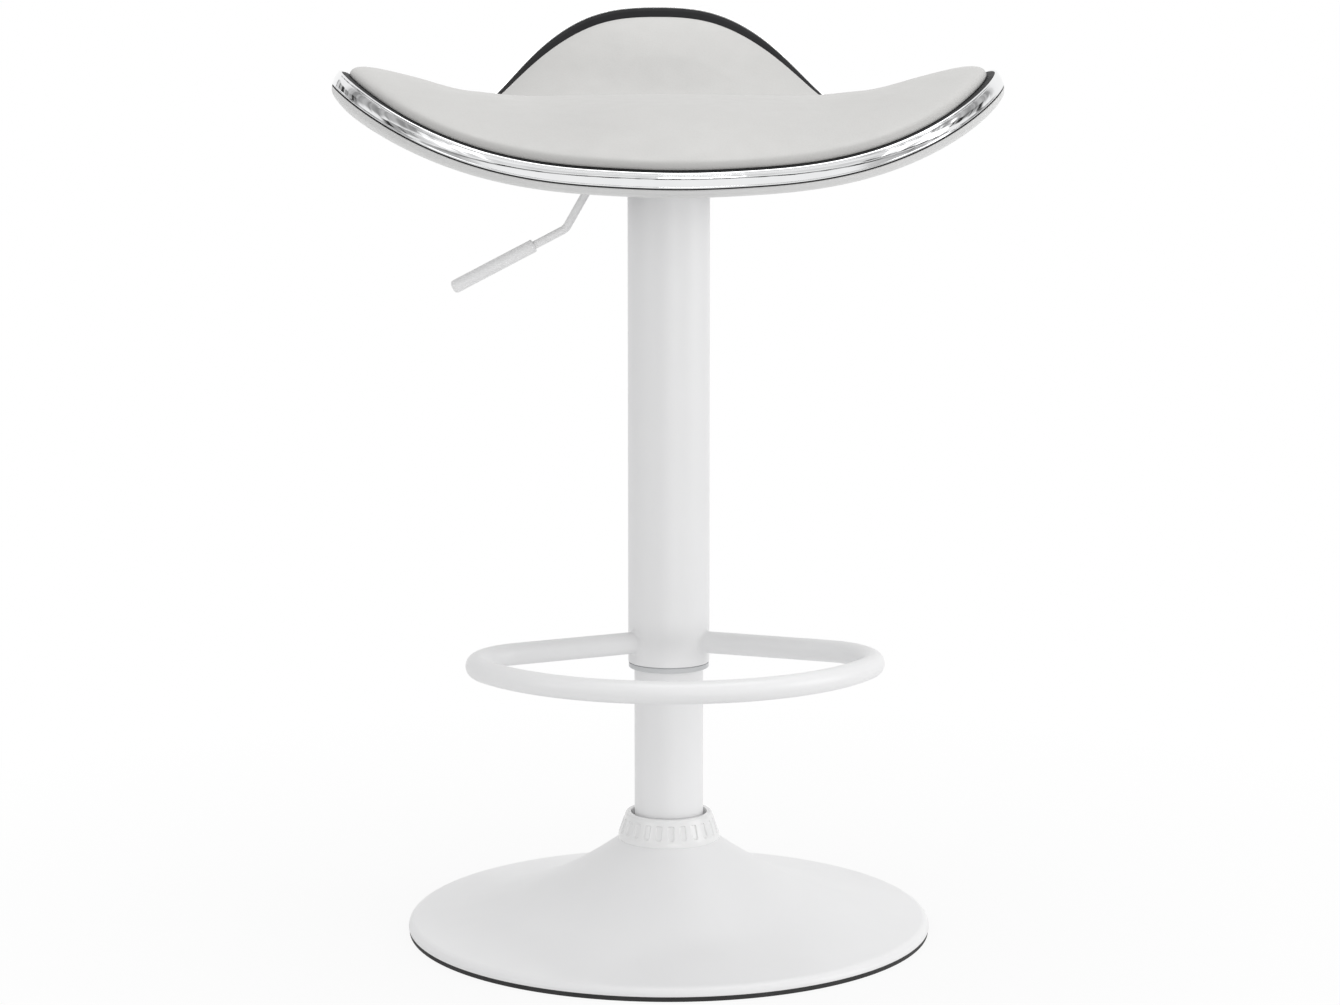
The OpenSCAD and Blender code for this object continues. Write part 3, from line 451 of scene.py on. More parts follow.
def finish(piece, body, stands_for=(), closed=True):
    """Welds and turns a piece's faces outwards, marks its sharp edges, and puts it on its body."""
    work = bmesh.new()
    work.from_mesh(piece.data)
    bmesh.ops.remove_doubles(work, verts=work.verts, dist=MERGE_WITHIN)
    bmesh.ops.dissolve_degenerate(work, edges=work.edges, dist=MERGE_WITHIN / 4)
    loose = [e for e in work.edges if not e.link_faces]
    bmesh.ops.delete(work, geom=loose, context="EDGES")
    open_edges = [e for e in work.edges if not e.is_manifold]
    if closed and open_edges:
        raise RuntimeError(f"{piece.name} has {len(open_edges)} open edges")
    if work.calc_volume(signed=True) < 0:
        bmesh.ops.reverse_faces(work, faces=work.faces)
    for face in work.faces:
        face.smooth = True
    work.to_mesh(piece.data)
    work.free()
    piece.data.set_sharp_from_angle(angle=SHARP_ANGLE)
    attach(piece, body)
    if stands_for:
        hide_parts(*stands_for)
    return piece


def joined(name, *parts):
    """One piece made of several, with the first one's materials."""
    work = bmesh.new()
    for part in parts:
        work.from_mesh(part.data)
    mesh = bpy.data.meshes.new(name)
    for material in parts[0].data.materials:
        mesh.materials.append(material)
    work.to_mesh(mesh)
    work.free()
    drop(*parts)
    return linked(name, mesh)


def rounded(points, radii, steps=5, closed=True):
    """An outline with its corners rounded. radii is one radius or one for each point."""
    corners = [Vector(p) for p in points]
    if not hasattr(radii, "__len__"):
        radii = [radii] * len(corners)
    out = []
    for i, (corner, radius) in enumerate(zip(corners, radii)):
        if radius <= 0 or (not closed and i in (0, len(corners) - 1)):
            out.append(tuple(corner))
            continue
        before, after = corners[i - 1] - corner, corners[(i + 1) % len(corners)] - corner
        u, v = before.normalized(), after.normalized()
        half = u.angle(v) / 2
        if half > ALMOST_STRAIGHT:
            out.append(tuple(corner))
            continue
        cut = min(radius / math.tan(half), 0.45 * before.length, 0.45 * after.length)
        centre = corner + (u + v).normalized() * (cut / math.cos(half))
        start, end = corner + u * cut - centre, corner + v * cut - centre
        if before.length > 4 * cut:
            out.append(tuple(corner + u * cut * 1.3))
        for k in range(steps + 1):
            out.append(tuple(centre + start.slerp(end, k / steps).normalized() * start.length))
        if after.length > 4 * cut:
            out.append(tuple(corner + v * cut * 1.3))
    return out


def eased_line(points, per_span, closed=False):
    """A smooth line through points of two coordinates (Catmull-Rom)."""
    given = [np.array(p, float) for p in points]
    count = len(given)
    out = []
    for i in range(count if closed else count - 1):
        if closed:
            a, b, c, d = (given[(i + k) % count] for k in (-1, 0, 1, 2))
        else:
            b, c = given[i], given[i + 1]
            a = given[i - 1] if i else 2 * b - c
            d = given[i + 2] if i + 2 < count else 2 * c - b
        for k in range(per_span):
            t = k / per_span
            out.append(0.5 * (
                2 * b + (c - a) * t + (2 * a - 5 * b + 4 * c - d) * t**2 + (3 * b - a - 3 * c + d) * t**3
            ))
    if not closed:
        out.append(given[-1])
    return [tuple(p) for p in out]


def spun(name, outline, material, segments=TUBE_SEGMENTS):
    """A turned piece from a closed outline of [radius, height], outer side upwards."""
    piece = line_piece(name, [(r, 0, z) for r, z in [*outline, outline[0]]])
    return grow(piece, "spun_outline", Segments=segments, Material=material)


def bar(name, path, radius, sides, material):
    """A round bar along a path of points."""
    return grow(line_piece(name, path), "tube_along_path", Radius=radius, Sides=sides, Material=material)


def wrapped(name, rows, material):
    """A closed piece from rows of points, an array [row, column, xyz]. A point closes each end."""
    count, columns = rows.shape[:2]
    points = rows.reshape(-1, 3)
    ends = [rows[0].mean(axis=0), rows[-1].mean(axis=0)]
    first, last = len(points), len(points) + 1
    faces = grid_faces(count, columns)
    for i in range(columns):
        j = (i + 1) % columns
        faces.append((first, j, i))
        faces.append((last, (count - 1) * columns + i, (count - 1) * columns + j))
    return new_piece(name, np.vstack([points, ends]), faces, material=material)


def softened(name, node, material, width):
    """A copy of a rigid node of the frame, welded, with its edges bevelled."""
    piece = linked(name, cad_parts[node].data.copy())
    work = bmesh.new()
    work.from_mesh(piece.data)
    bmesh.ops.remove_doubles(work, verts=work.verts, dist=MERGE_WITHIN * 5)
    flat = math.radians(0.5)
    bmesh.ops.dissolve_limit(
        work, angle_limit=flat, verts=work.verts, edges=work.edges, use_dissolve_boundaries=False
    )
    work.to_mesh(piece.data)
    work.free()
    bevel = piece.modifiers.new("soft_edges", "BEVEL")
    bevel.width = width
    bevel.segments = 2
    bevel.limit_method = "ANGLE"
    bevel.angle_limit = math.radians(50)
    bevel.harden_normals = False
    keep_result(piece)
    piece.data.materials.clear()
    piece.data.materials.append(material)
    return piece


# The seat's form


def ease(t):
    """A smooth step from 0 to 1, over the same range of t."""
    k = np.clip(t, 0, 1)
    return k * k * (3 - 2 * k)


def unit(v):
    """Vectors scaled to length 1."""
    return v / np.linalg.norm(v, axis=-1, keepdims=True)


class SeatForm:
    """The seat's rim and the saddle of its board. Angles are in degrees, -90 at the front."""

    flat_radius = 86 * MM
    flat_blend = 56 * MM
    fade_start = 10 * MM
    fade_end = 130 * MM

    def __init__(self, sizes):
        self.sizes = sizes

    def rim_radius(self, angle):
        """Distance of the rim from the axis: a smooth closed curve (cubic B-spline) led by RIM_SHARES."""
        last = len(RIM_SHARES) - 1
        place = (angle + 90) / RIM_STEP
        i = np.floor(place).astype(int)
        t = place - i

        def share(k):
            k = np.mod(k, 2 * last)
            return RIM_SHARES[np.where(k <= last, k, 2 * last - k)]

        led = (
            share(i - 1) * (1 - t) ** 3
            + share(i) * (3 * t**3 - 6 * t**2 + 4)
            + share(i + 1) * (-3 * t**3 + 3 * t**2 + 3 * t + 1)
            + share(i + 2) * t**3
        )
        return self.sizes.half_width * led / 6

    def height(self, x, y):
        """Height of the board's top: a flat middle, two side lobes, a back lobe and a falling front."""
        s = self.sizes
        sideways = np.maximum(0, np.abs(x) - s.side_start) / (s.half_width - s.side_start)
        side = s.side_rise * sideways**s.side_power
        side = side * (1 - ease((y - self.fade_start) / (self.fade_end - self.fade_start)))
        back = s.back_rise * (np.maximum(0, y - s.back_start) / (s.back_depth - s.back_start)) ** 2
        front = s.front_fall * (np.maximum(0, -y) / s.front_depth) ** 2
        out_of_middle = ease((np.hypot(x, y) - self.flat_radius) / self.flat_blend)
        return s.board_height + (side + back - front) * out_of_middle

    def on_board(self, x, y, up=0.0):
        """Points at x, y on the board, raised by up along its normal."""
        h = SLOPE_STEP
        slope_x = (self.height(x - h, y) - self.height(x + h, y)) / (2 * h)
        slope_y = (self.height(x, y - h) - self.height(x, y + h)) / (2 * h)
        normal = unit(np.stack([slope_x, slope_y, np.ones_like(slope_x)], axis=-1))
        place = np.stack([x, y, self.height(x, y)], axis=-1)
        return place + np.asarray(up)[..., None] * normal, normal

    def rim_point(self, angle):
        """Points of the rim on the board, and the board's normals there."""
        r, a = self.rim_radius(angle), np.radians(angle)
        return self.on_board(r * np.cos(a), r * np.sin(a))

    def frame_at(self, angle):
        """The rim's points with their outward and upward directions."""
        place, up = self.rim_point(angle)
        along = unit(self.rim_point(angle + 1)[0] - self.rim_point(angle - 1)[0])
        return place, unit(np.cross(along, up)), up

    def rim(self, angle, out, up):
        """Points at out and up from the rim, in its own frame."""
        place, outward, upward = self.frame_at(angle)
        return place + out * outward + up * upward

    def inside(self, angle, share, out, up):
        """Points at a share of the way out to the line at out from the rim, raised by up."""
        edge = self.rim(angle, out, 0)
        return self.on_board(share * edge[..., 0], share * edge[..., 1], up)[0]


def seat_angles(columns=SEAT_COLUMNS):
    """Angles of the columns round the seat."""
    return np.arange(columns) * 360 / columns


def rim_band(name, form, section, material):
    """A band round the rim with a closed section of [out, up] points in millimetres, outer side upwards."""
    place, out, up = form.frame_at(seat_angles())
    piece = new_piece(name, place)
    for label, values in (("out", out), ("up", up)):
        piece.data.attributes.new(label, "FLOAT_VECTOR", "POINT").data.foreach_set("vector", values.ravel())
    profile = line_piece(name + "_section", [(o * MM, u * MM, 0) for o, u in [*section, section[0]]])
    grow(piece, "band_along_rim", Section=profile, Material=material)
    drop(profile)
    return piece


# Finishes


def new_material(name):
    """A material and its tree of nodes."""
    material = bpy.data.materials.new(name)
    material.use_nodes = True
    return material, material.node_tree


def new_finish(name):
    """A material with its Principled shader and the Object coordinates that its textures read."""
    material, tree = new_material(name)
    place = tree.nodes.new("ShaderNodeTexCoord").outputs["Object"]
    return material, tree, tree.nodes["Principled BSDF"], place


def noise(tree, place, scale, detail=2.0, roughness=0.5, stretch=None):
    """A noise over the object, with features of about 1 / scale metres."""
    if stretch:
        place = output_of(tree, "ShaderNodeMapping", {"Vector": place, "Scale": stretch})
    return output_of(
        tree,
        "ShaderNodeTexNoise",
        {"Vector": place, "Scale": scale, "Detail": detail, "Roughness": roughness},
    )


def ranged(tree, value, low, high, start=0.3, end=0.7):
    """A texture's value taken from start..end to low..high."""
    return output_of(
        tree,
        "ShaderNodeMapRange",
        {"Value": value, "From Min": start, "From Max": end, "To Min": low, "To Max": high},
    )


def tinted(tree, shader, tone, factor, change):
    """Links the shader's colour to a drift between a tone and the same tone changed by a share."""
    mix = add_node(tree, "ShaderNodeMix", {0: factor}, data_type="RGBA")
    mix.inputs[6].default_value = (*tone, 1)
    mix.inputs[7].default_value = (*[min(1, c * (1 + change)) for c in tone], 1)
    tree.links.new(mix.outputs[2], shader.inputs["Base Color"])


def bumped(tree, shader, height, strength, distance, normal=None):
    """Links the shader's normal to a bump of a height texture."""
    inputs = {"Height": height, "Strength": strength, "Distance": distance}
    if normal is not None:
        inputs["Normal"] = normal
    bump = output_of(tree, "ShaderNodeBump", inputs)
    tree.links.new(bump, shader.inputs["Normal"])
    return bump


def fine_finish(name, tone, rough, grain, depth, drift, **sockets):
    """A finish with a fine grain: its colour and roughness drift a little, and it has a small bump."""
    material, tree, shader, place = new_finish(name)
    slow = noise(tree, place, 14, 3)
    tinted(tree, shader, tone, ranged(tree, slow, 0, 1), drift)
    tree.links.new(ranged(tree, noise(tree, place, 60, 3), *rough), shader.inputs["Roughness"])
    bumped(tree, shader, noise(tree, place, grain, 2), 0.5, depth)
    for socket, value in sockets.items():
        shader.inputs[socket.replace("_", " ")].default_value = value
    return material


def chrome_finish(tones):
    """Bright plating over moulded plastic: it mirrors, a little wavy, with faint wipe marks."""
    material, tree, shader, place = new_finish("bright_chrome")
    tinted(tree, shader, tones.chrome, ranged(tree, noise(tree, place, 40, 3), 0, 1), -0.05)
    wipes = noise(tree, place, 45, 4, 0.6, stretch=(1, 1, 9))
    tree.links.new(ranged(tree, wipes, 0.035, 0.1, 0.35, 0.75), shader.inputs["Roughness"])
    waves = bumped(tree, shader, noise(tree, place, 22, 2), 0.6, 0.5 * MM)
    bumped(tree, shader, noise(tree, place, 260, 2), 0.12, 0.05 * MM, waves)
    shader.inputs["Metallic"].default_value = 1
    return material


def leather_finish(tones):
    """Light grey leather cloth: a fine pebbled grain with pores, softly worn, with painted shade darkening
    the valleys between its cells.
    """
    material, tree, shader, place = new_finish("grey_leather_cloth")
    cells = add_node(
        tree,
        "ShaderNodeTexVoronoi",
        {"Vector": place, "Scale": 780, "Smoothness": 0.35, "Randomness": 0.9},
        feature="SMOOTH_F1",
    ).outputs["Distance"]
    pores = noise(tree, place, 1500, 2)
    slow = noise(tree, place, 9, 3)
    # Painted shade: the colour is darker in the grain's valleys between the cells, as if they lay in shade,
    # more so where the slow noise is high
    cell_valley_shade = maths(tree, "MULTIPLY", ranged(tree, cells, 0, 0.5, 0.35, 0.75), ranged(tree, slow, 0.5, 1))
    tinted(tree, shader, tones.leather, maths(tree, "ADD", cell_valley_shade, ranged(tree, slow, 0, 0.35)), -0.07)
    tree.links.new(ranged(tree, noise(tree, place, 70, 3), 0.44, 0.54), shader.inputs["Roughness"])
    height = maths(tree, "MULTIPLY_ADD", pores, 0.35, maths(tree, "SUBTRACT", 1.0, cells))
    bumped(tree, shader, height, 0.35, 0.09 * MM)
    shader.inputs["Sheen Weight"].default_value = 0.06
    shader.inputs["Sheen Roughness"].default_value = 0.4
    return material


def dark_steel_finish(tones):
    """Thin black paint on pressed steel, with small scratches."""
    material = fine_finish("black_painted_steel", tones.steel, (0.36, 0.52), 380, 0.06 * MM, 0.45)
    tree = material.node_tree
    shader = tree.nodes["Principled BSDF"]
    place = tree.nodes["Texture Coordinate"].outputs["Object"]
    streaks = noise(tree, place, 120, 5, 0.7, stretch=(1, 12, 1))
    tree.links.new(ranged(tree, streaks, 0.32, 0.55, 0.4, 0.7), shader.inputs["Roughness"])
    return material


def metal_finish(name, tone, rough, stretch, drift):
    """Plated or ground metal, with fine marks along its working direction."""
    material, tree, shader, place = new_finish(name)
    marks = noise(tree, place, 160, 4, 0.65, stretch=stretch)
    tinted(tree, shader, tone, ranged(tree, noise(tree, place, 24, 3), 0, 1), drift)
    tree.links.new(ranged(tree, marks, *rough), shader.inputs["Roughness"])
    bumped(tree, shader, marks, 0.2, 0.03 * MM)
    shader.inputs["Metallic"].default_value = 1
    return material


def plywood_finish(tones):
    """Birch plywood: grain on its faces and thin layers on its edge."""
    material, tree, shader, place = new_finish("birch_plywood")
    grain = noise(tree, place, 26, 6, 0.62, stretch=(1, 9, 9))
    layers = add_node(
        tree,
        "ShaderNodeTexWave",
        {"Vector": place, "Scale": 105, "Distortion": 1.5, "Detail": 2, "Detail Scale": 2},
        bands_direction="Z",
    ).outputs[1]
    both = maths(tree, "MULTIPLY_ADD", layers, 0.45, ranged(tree, grain, 0, 0.6, 0.3, 0.75))
    tinted(tree, shader, tones.wood, both, -0.35)
    tree.links.new(ranged(tree, grain, 0.55, 0.75), shader.inputs["Roughness"])
    bumped(tree, shader, both, 0.25, 0.1 * MM)
    return material


FINISHES = {
    "chrome": chrome_finish,
    "leather": leather_finish,
    "dark_steel": dark_steel_finish,
    "plywood": plywood_finish,
    # White powder coat: satin, with the small waves of orange peel
    "coat": lambda tones: fine_finish(
        "white_powder_coat", tones.coat, (0.34, 0.42), 420, 0.05 * MM, -0.015
    ),
    # Glossy moulded plastic of the collar
    "collar": lambda tones: fine_finish(
        "collar_plastic", tones.plastic, (0.14, 0.2), 160, 0.02 * MM, -0.01
    ),
    # Satin moulded shell under the seat
    "shell": lambda tones: fine_finish("shell_plastic", tones.shell, (0.3, 0.38), 650, 0.03 * MM, -0.03),
    # Black vinyl of the strip round the board
    "edge": lambda tones: fine_finish(
        "black_vinyl", tones.edge, (0.5, 0.62), 900, 0.05 * MM, 0.5, Specular_IOR_Level=0.12
    ),
    # Matt black rubber with a fine grain
    "rubber": lambda tones: fine_finish("black_rubber", tones.rubber, (0.7, 0.85), 1100, 0.08 * MM, 0.6),
    # Grey guide plastic, polished by the column that slides in it
    "guide": lambda tones: fine_finish(
        "grey_guide_plastic", tones.guide, (0.3, 0.42), 500, 0.03 * MM, -0.06
    ),
    # Dark plastic of the seals and caps inside
    "seal": lambda tones: fine_finish(
        "dark_seal_plastic", (0.05, 0.05, 0.055), (0.35, 0.5), 600, 0.04 * MM, 0.4
    ),
    # Plated, ground and rolled steel
    "zinc": lambda tones: metal_finish("zinc_plate", tones.zinc, (0.28, 0.45), (1, 1, 1), -0.12),
    "ground_rod": lambda tones: metal_finish(
        "ground_rod", (0.78, 0.79, 0.8), (0.1, 0.2), (1, 1, 14), -0.05
    ),
    "rolled_steel": lambda tones: metal_finish(
        "rolled_steel", (0.3, 0.31, 0.33), (0.35, 0.6), (1, 10, 1), -0.3
    ),
}
_finishes = {}


def finish_of(key):
    """The material of a finish, made once."""
    if key not in _finishes:
        _finishes[key] = FINISHES[key](bpy.context.scene.stool.colours)
    return _finishes[key]


# Outlines


def dish_height(base, radius):
    """Height of the dish's outer face at a radius of its flare."""
    crest = base.rim_radius - base.edge_radius
    share = max(0.0, crest - radius) / (crest - base.neck_radius)
    return base.rim_height + base.rise * share**base.power


def dish_outline(base):
    """Section of the dish: its rim, its flare, the sleeve round the column, and back along the underside."""
    crest, t = base.rim_radius - base.edge_radius, base.sheet
    low = base.rim_height - base.edge_radius
    steps, turns = 72, 14
    radii = [crest + (base.neck_radius - crest) * i / steps for i in range(steps + 1)]
    foot = dish_height(base, base.neck_radius) + (base.neck_radius - base.sleeve_radius) * 0.8
    top = dish_height(base, base.neck_radius) + base.collar_height * 0.65

    def rim(r):
        quarter = (math.pi / 2 * i / turns for i in range(turns))
        return [(crest + r * math.cos(a), low + r * math.sin(a)) for a in quarter]

    outer = [(base.rim_radius, base.ring_height)] + rim(base.edge_radius)
    outer += [(r, dish_height(base, r)) for r in radii]
    outer += [(base.sleeve_radius, foot), (base.sleeve_radius, top)]
    inner = [(base.rim_radius - t, base.ring_height)] + rim(base.edge_radius - t)
    inner += [(r, dish_height(base, r) - t) for r in radii]
    inner += [(base.sleeve_radius - t, foot - t), (base.sleeve_radius - t, top)]
    return outer + inner[::-1]


def ring_outline(base):
    """Section of the rubber ring, with two grooves where it grips the floor."""
    outer, h = base.rim_radius - base.sheet / 4, base.ring_height
    inner, groove = outer - base.ring_width, 0.8 * MM
    points = [(outer, 0), (outer, h), (inner, h), (inner, 0)]
    for share in (0.3, 0.64):
        a = inner + share * base.ring_width
        b = a + groove
        points += [(a, 0), (a, groove), (b, groove), (b, 0)]
    # The rounding of the outer foot, of the two upper edges, and of the inner foot and the grooves
    return rounded(points, [0.5 * MM, 0.3 * MM, 0.3 * MM] + [0.15 * MM] * 9)


def tube_outline(outer, wall, low, high, edge=0.5 * MM):
    """Section of a plain tube with softened ends."""
    inner = outer - wall
    return rounded([(outer, low), (outer, high), (inner, high), (inner, low)], edge)


def bush_outline(column, tube_low):
    """Section of the guide bush: a lip under the tube, a step, and the sleeve inside."""
    gap = 0.2 * MM
    inside = column.radius + 0.05 * MM
    lip, sleeve = column.tube_radius - 0.4 * MM, column.tube_radius - column.wall - 0.05 * MM
    low, top = tube_low - column.bush_lip, tube_low - gap
    return rounded(
        [
            (lip, low),
            (lip, top - 0.5 * MM),
            (lip - 0.9 * MM, top - 0.5 * MM),
            (lip - 0.9 * MM, top),
            (sleeve, top),
            (sleeve, top + 22 * MM),
            (inside, top + 22 * MM),
            (inside, low),
        ],
        [0.7 * MM, 0.25 * MM, 0.1 * MM, 0.1 * MM, 0, 0.3 * MM, 0.2 * MM, 0.4 * MM],
    )


def arc(centre, radius, start, end, steps):
    """Points round an arc in a plane, angles in radians."""
    return [
        (centre[0] + radius * math.cos(a), centre[1] + radius * math.sin(a))
        for a in (start + (end - start) * i / steps for i in range(steps + 1))
    ]


def bend(before, corner, after, radius):
    """Points of a rounded corner of a path in a plane."""
    return rounded([before, corner, after], [0, radius, 0], 14, closed=False)[1:-1]


def footrest_path(column):
    """The footrest's centreline in its plane, from one arm to the other, with the arm's direction."""
    front_centre = (0.0, column.foot_front_radius - column.foot_reach)
    corner_r = column.foot_corner_radius
    corner_x = column.foot_half_width - corner_r
    corner_y = front_centre[1] - math.sqrt((column.foot_front_radius - corner_r) ** 2 - corner_x**2)
    turn = math.atan2(corner_y - front_centre[1], corner_x)
    reach = math.hypot(corner_x, corner_y)
    arm_angle = -math.atan2(corner_y, corner_x) - math.asin((corner_r + column.foot_arm_ahead) / reach)
    along = Vector((math.cos(arm_angle), -math.sin(arm_angle)))
    arm_end = Vector((corner_x + corner_r * math.sin(arm_angle), corner_y + corner_r * math.cos(arm_angle)))
    arm_start = arm_end - along * (arm_end.dot(along) - (column.tube_radius - 3 * MM))
    corner = arc((corner_x, corner_y), corner_r, math.pi / 2 - arm_angle, turn, 30)
    front = arc(front_centre, column.foot_front_radius, turn, -math.pi / 2, 40)
    half = [tuple(arm_start)] + corner + front[1:]
    other = [(-x, y) for x, y in half[-2::-1]]
    return half + other, along


def weld_fillet(name, column, height, along, side, material):
    """The weld that flares from an arm of the footrest on to the tube, a little rippled along its edge."""
    radius, flare, count = column.foot_radius, column.weld, 48
    across = Vector((-along.y, along.x))
    sunk = -0.35 * MM
    rows = [(radius - 0.6 * MM, flare * 1.05), (radius - 0.6 * MM, sunk), (radius + flare, sunk)]
    for k in range(9):
        a = math.pi / 2 * k / 8
        rows.append((radius + flare * (1 - math.sin(a)), flare * (1 - math.cos(a))))
    points = []
    for ring, lift in rows:
        for i in range(count):
            a = FULL_TURN * i / count
            ripple = 0.12 * MM * math.sin(a * 9 + 1.3) * (lift > 0) * (ring > radius)
            sideways = -column.foot_arm_ahead + (ring + ripple) * math.cos(a)
            far = math.sqrt((column.tube_radius + lift) ** 2 - sideways**2)
            flat = along * far + across * sideways
            points.append((side * flat.x, flat.y, height + (ring + ripple) * math.sin(a)))
    return new_piece(name, points, grid_faces(len(rows), count, round_rows=True), material=material)


def hex_share(angle):
    """A hexagon's radius at an angle, as a share of its corner's."""
    return math.cos(math.pi / 6) / math.cos(math.fmod(angle + FULL_TURN, math.pi / 3) - math.pi / 6)


def socket_screws(name, box, head_top, shank_radius, hexagon):
    """Four screws round the axis as one piece: round heads down, a hexagon socket in each, shanks up.

    box holds the first screw's corners, and hexagon is the corner radius of its socket."""
    low, high = box
    middle_x, middle_y, head = (low.x + high.x) / 2, (low.y + high.y) / 2, (high.x - low.x) / 2
    depth, edge = (head_top - low.z) * 0.55, 0.35 * MM
    rows = [
        (hexagon * 0.45, low.z + depth * 1.1, False),
        (hexagon, low.z + depth, True),
        (hexagon, low.z + edge, True),
        (hexagon + edge, low.z, True),
        (head - 2 * edge, low.z, False),
        (head - 0.6 * edge, low.z + 0.4 * edge, False),
        (head, low.z + 1.6 * edge, False),
        (head, head_top - edge / 2, False),
        (head - edge / 2, head_top, False),
        (shank_radius, head_top, False),
        (shank_radius, high.z - edge, False),
        (shank_radius - edge, high.z, False),
    ]
    columns, points = 36, []
    for r, z, is_hex in rows:
        for i in range(columns):
            a = -FULL_TURN * i / columns
            radius = r * (hex_share(a) if is_hex else 1)
            points.append((middle_x + radius * math.cos(a), middle_y + radius * math.sin(a), z))
    zinc = finish_of("zinc")
    screw = wrapped(name, np.array(points).reshape(len(rows), columns, 3), zinc)
    return grow(screw, "ring_of_copies", Count=4, Material=zinc)


def collar_sector(base, foot):
    """One sector of the collar with its pocket: rows of points round a closed section, and their faces."""
    half, columns, rows_up = math.pi / base.flutes, 28, 40
    rise, lip = base.collar_height, base.collar_lip
    top_r, neck, hole = base.collar_top_radius, base.neck_radius, base.collar_hole_radius
    face_low, face_high = lip + 0.6 * MM, rise - 2.2 * MM
    slant = (top_r + 0.5 * MM - neck) / (face_high - lip)
    section = [(neck - 0.3 * MM, 0), (neck, 0.35 * MM), (neck, lip - 0.4 * MM), (neck - 0.12 * MM, lip)]
    for k in range(rows_up + 1):
        z = face_low + (face_high - face_low) * k / rows_up
        section.append((neck + slant * (z - lip), z))
    r = section[-1][0]
    section += [
        (r - 0.25 * MM, rise - 1.5 * MM),
        (r - 0.75 * MM, rise - 0.7 * MM),
        (r - 1.4 * MM, rise - 0.15 * MM),
        (r - 2.0 * MM, rise),
        (hole + 0.8 * MM, rise),
        (hole + 0.25 * MM, rise - 0.2 * MM),
        (hole, rise - 0.8 * MM),
        (hole, (neck - hole) * 0.8 + 0.2 * MM),
        (neck - 0.8 * MM, 0.65 * MM),
    ]
    # A pocket is round below and flatter above, and its wall slopes over twice this width
    pocket_low, pocket_high = face_low + 1.1 * MM, face_high - 2.3 * MM
    wall, low_round = 0.35 * MM, base.flute_width / 2
    high_round = low_round * 0.45
    points = []
    for r, z in section:
        is_face = face_low <= z <= face_high and r > hole + 1 * MM
        gap = z - min(max(z, pocket_low + low_round), pocket_high - high_round)
        corner = low_round if gap < 0 else high_round
        for i in range(columns + 1):
            a = -half + 2 * half * i / columns
            flat = max(0.0, abs(r * a) - (0 if gap < 0 else low_round - corner))
            away = math.hypot(flat, gap) - corner if gap else abs(r * a) - low_round
            sunk = float(1 - ease((away + wall) / (2 * wall)))
            radius = r - (base.flute_depth * sunk if is_face else 0)
            points.append((radius * math.cos(a), radius * math.sin(a), foot + z))
    return points, grid_faces(len(section), columns + 1, round_rows=True, round_columns=False)


def ledge_width(angle):
    """Width of the black ledge outside the cushion: least at the front, more at the wings' tips and behind.

    The angles are in degrees round the seat, and the widths in the first sums in millimetres."""
    backwards, sideways = np.sin(np.radians(angle)), np.abs(np.cos(np.radians(angle)))
    width = 4.3 + 2.8 * ease((backwards - 0.4) / 0.35) + 5.4 * ease((backwards - 0.78) / 0.22)
    return (width + 2.6 * ease((sideways - 0.86) / 0.12)) * MM


def pad_start_rows(form, sizes):
    """Rows of points of the cushion before it swells: crowned top, rolled edge, tucked foot, underside."""
    angle = seat_angles(PAD_COLUMNS)
    edge_out = -ledge_width(angle)[:, None]
    # Room for the glue under the pad, then the height of its foot, and how far the foot is tucked in
    gap, foot_up, tuck = 0.5 * MM, 2.2 * MM, 1.1 * MM
    upper = sizes.pad_edge - foot_up
    reach = np.linalg.norm(form.rim(angle, edge_out, 0)[:, :2], axis=1)

    def line(inward):
        """The cushion's edge line, moved inwards, seen from above."""
        return form.rim(angle, edge_out - inward, 0)[:, :2]

    def raised(xy, up, crowned=True):
        if crowned:
            up = up + sizes.pad_crown * (1 - (np.linalg.norm(xy, axis=1) / reach) ** 2)
        return form.on_board(xy[:, 0], xy[:, 1], up)[0]

    rows = []
    for share in np.linspace(0.035, 1, PAD_TOP_ROWS + 1)[:-1]:
        rows.append(raised(line(sizes.pad_roll) * share, gap + foot_up + upper))
    for turn in np.linspace(math.pi / 2, 0, PAD_ROLL_ROWS):
        up = gap + foot_up + upper * math.sin(turn) ** 0.84
        rows.append(raised(line(sizes.pad_roll * (1 - math.cos(turn))), up))
    for turn in np.linspace(0, math.radians(85), PAD_TUCK_ROWS + 1)[1:]:
        up = gap + foot_up - foot_up * math.sin(turn)
        rows.append(raised(line(tuck * (1 - math.cos(turn))), up, crowned=False))
    for share in np.linspace(1, 0.05, PAD_UNDER_ROWS):
        rows.append(raised(line(1.5 * tuck) * share, gap, crowned=False))
    return np.array(rows)


def coordinates(mesh):
    """A mesh's points, as an array."""
    values = np.empty(len(mesh.vertices) * 3)
    mesh.vertices.foreach_get("co", values)
    return values.reshape(-1, 3)


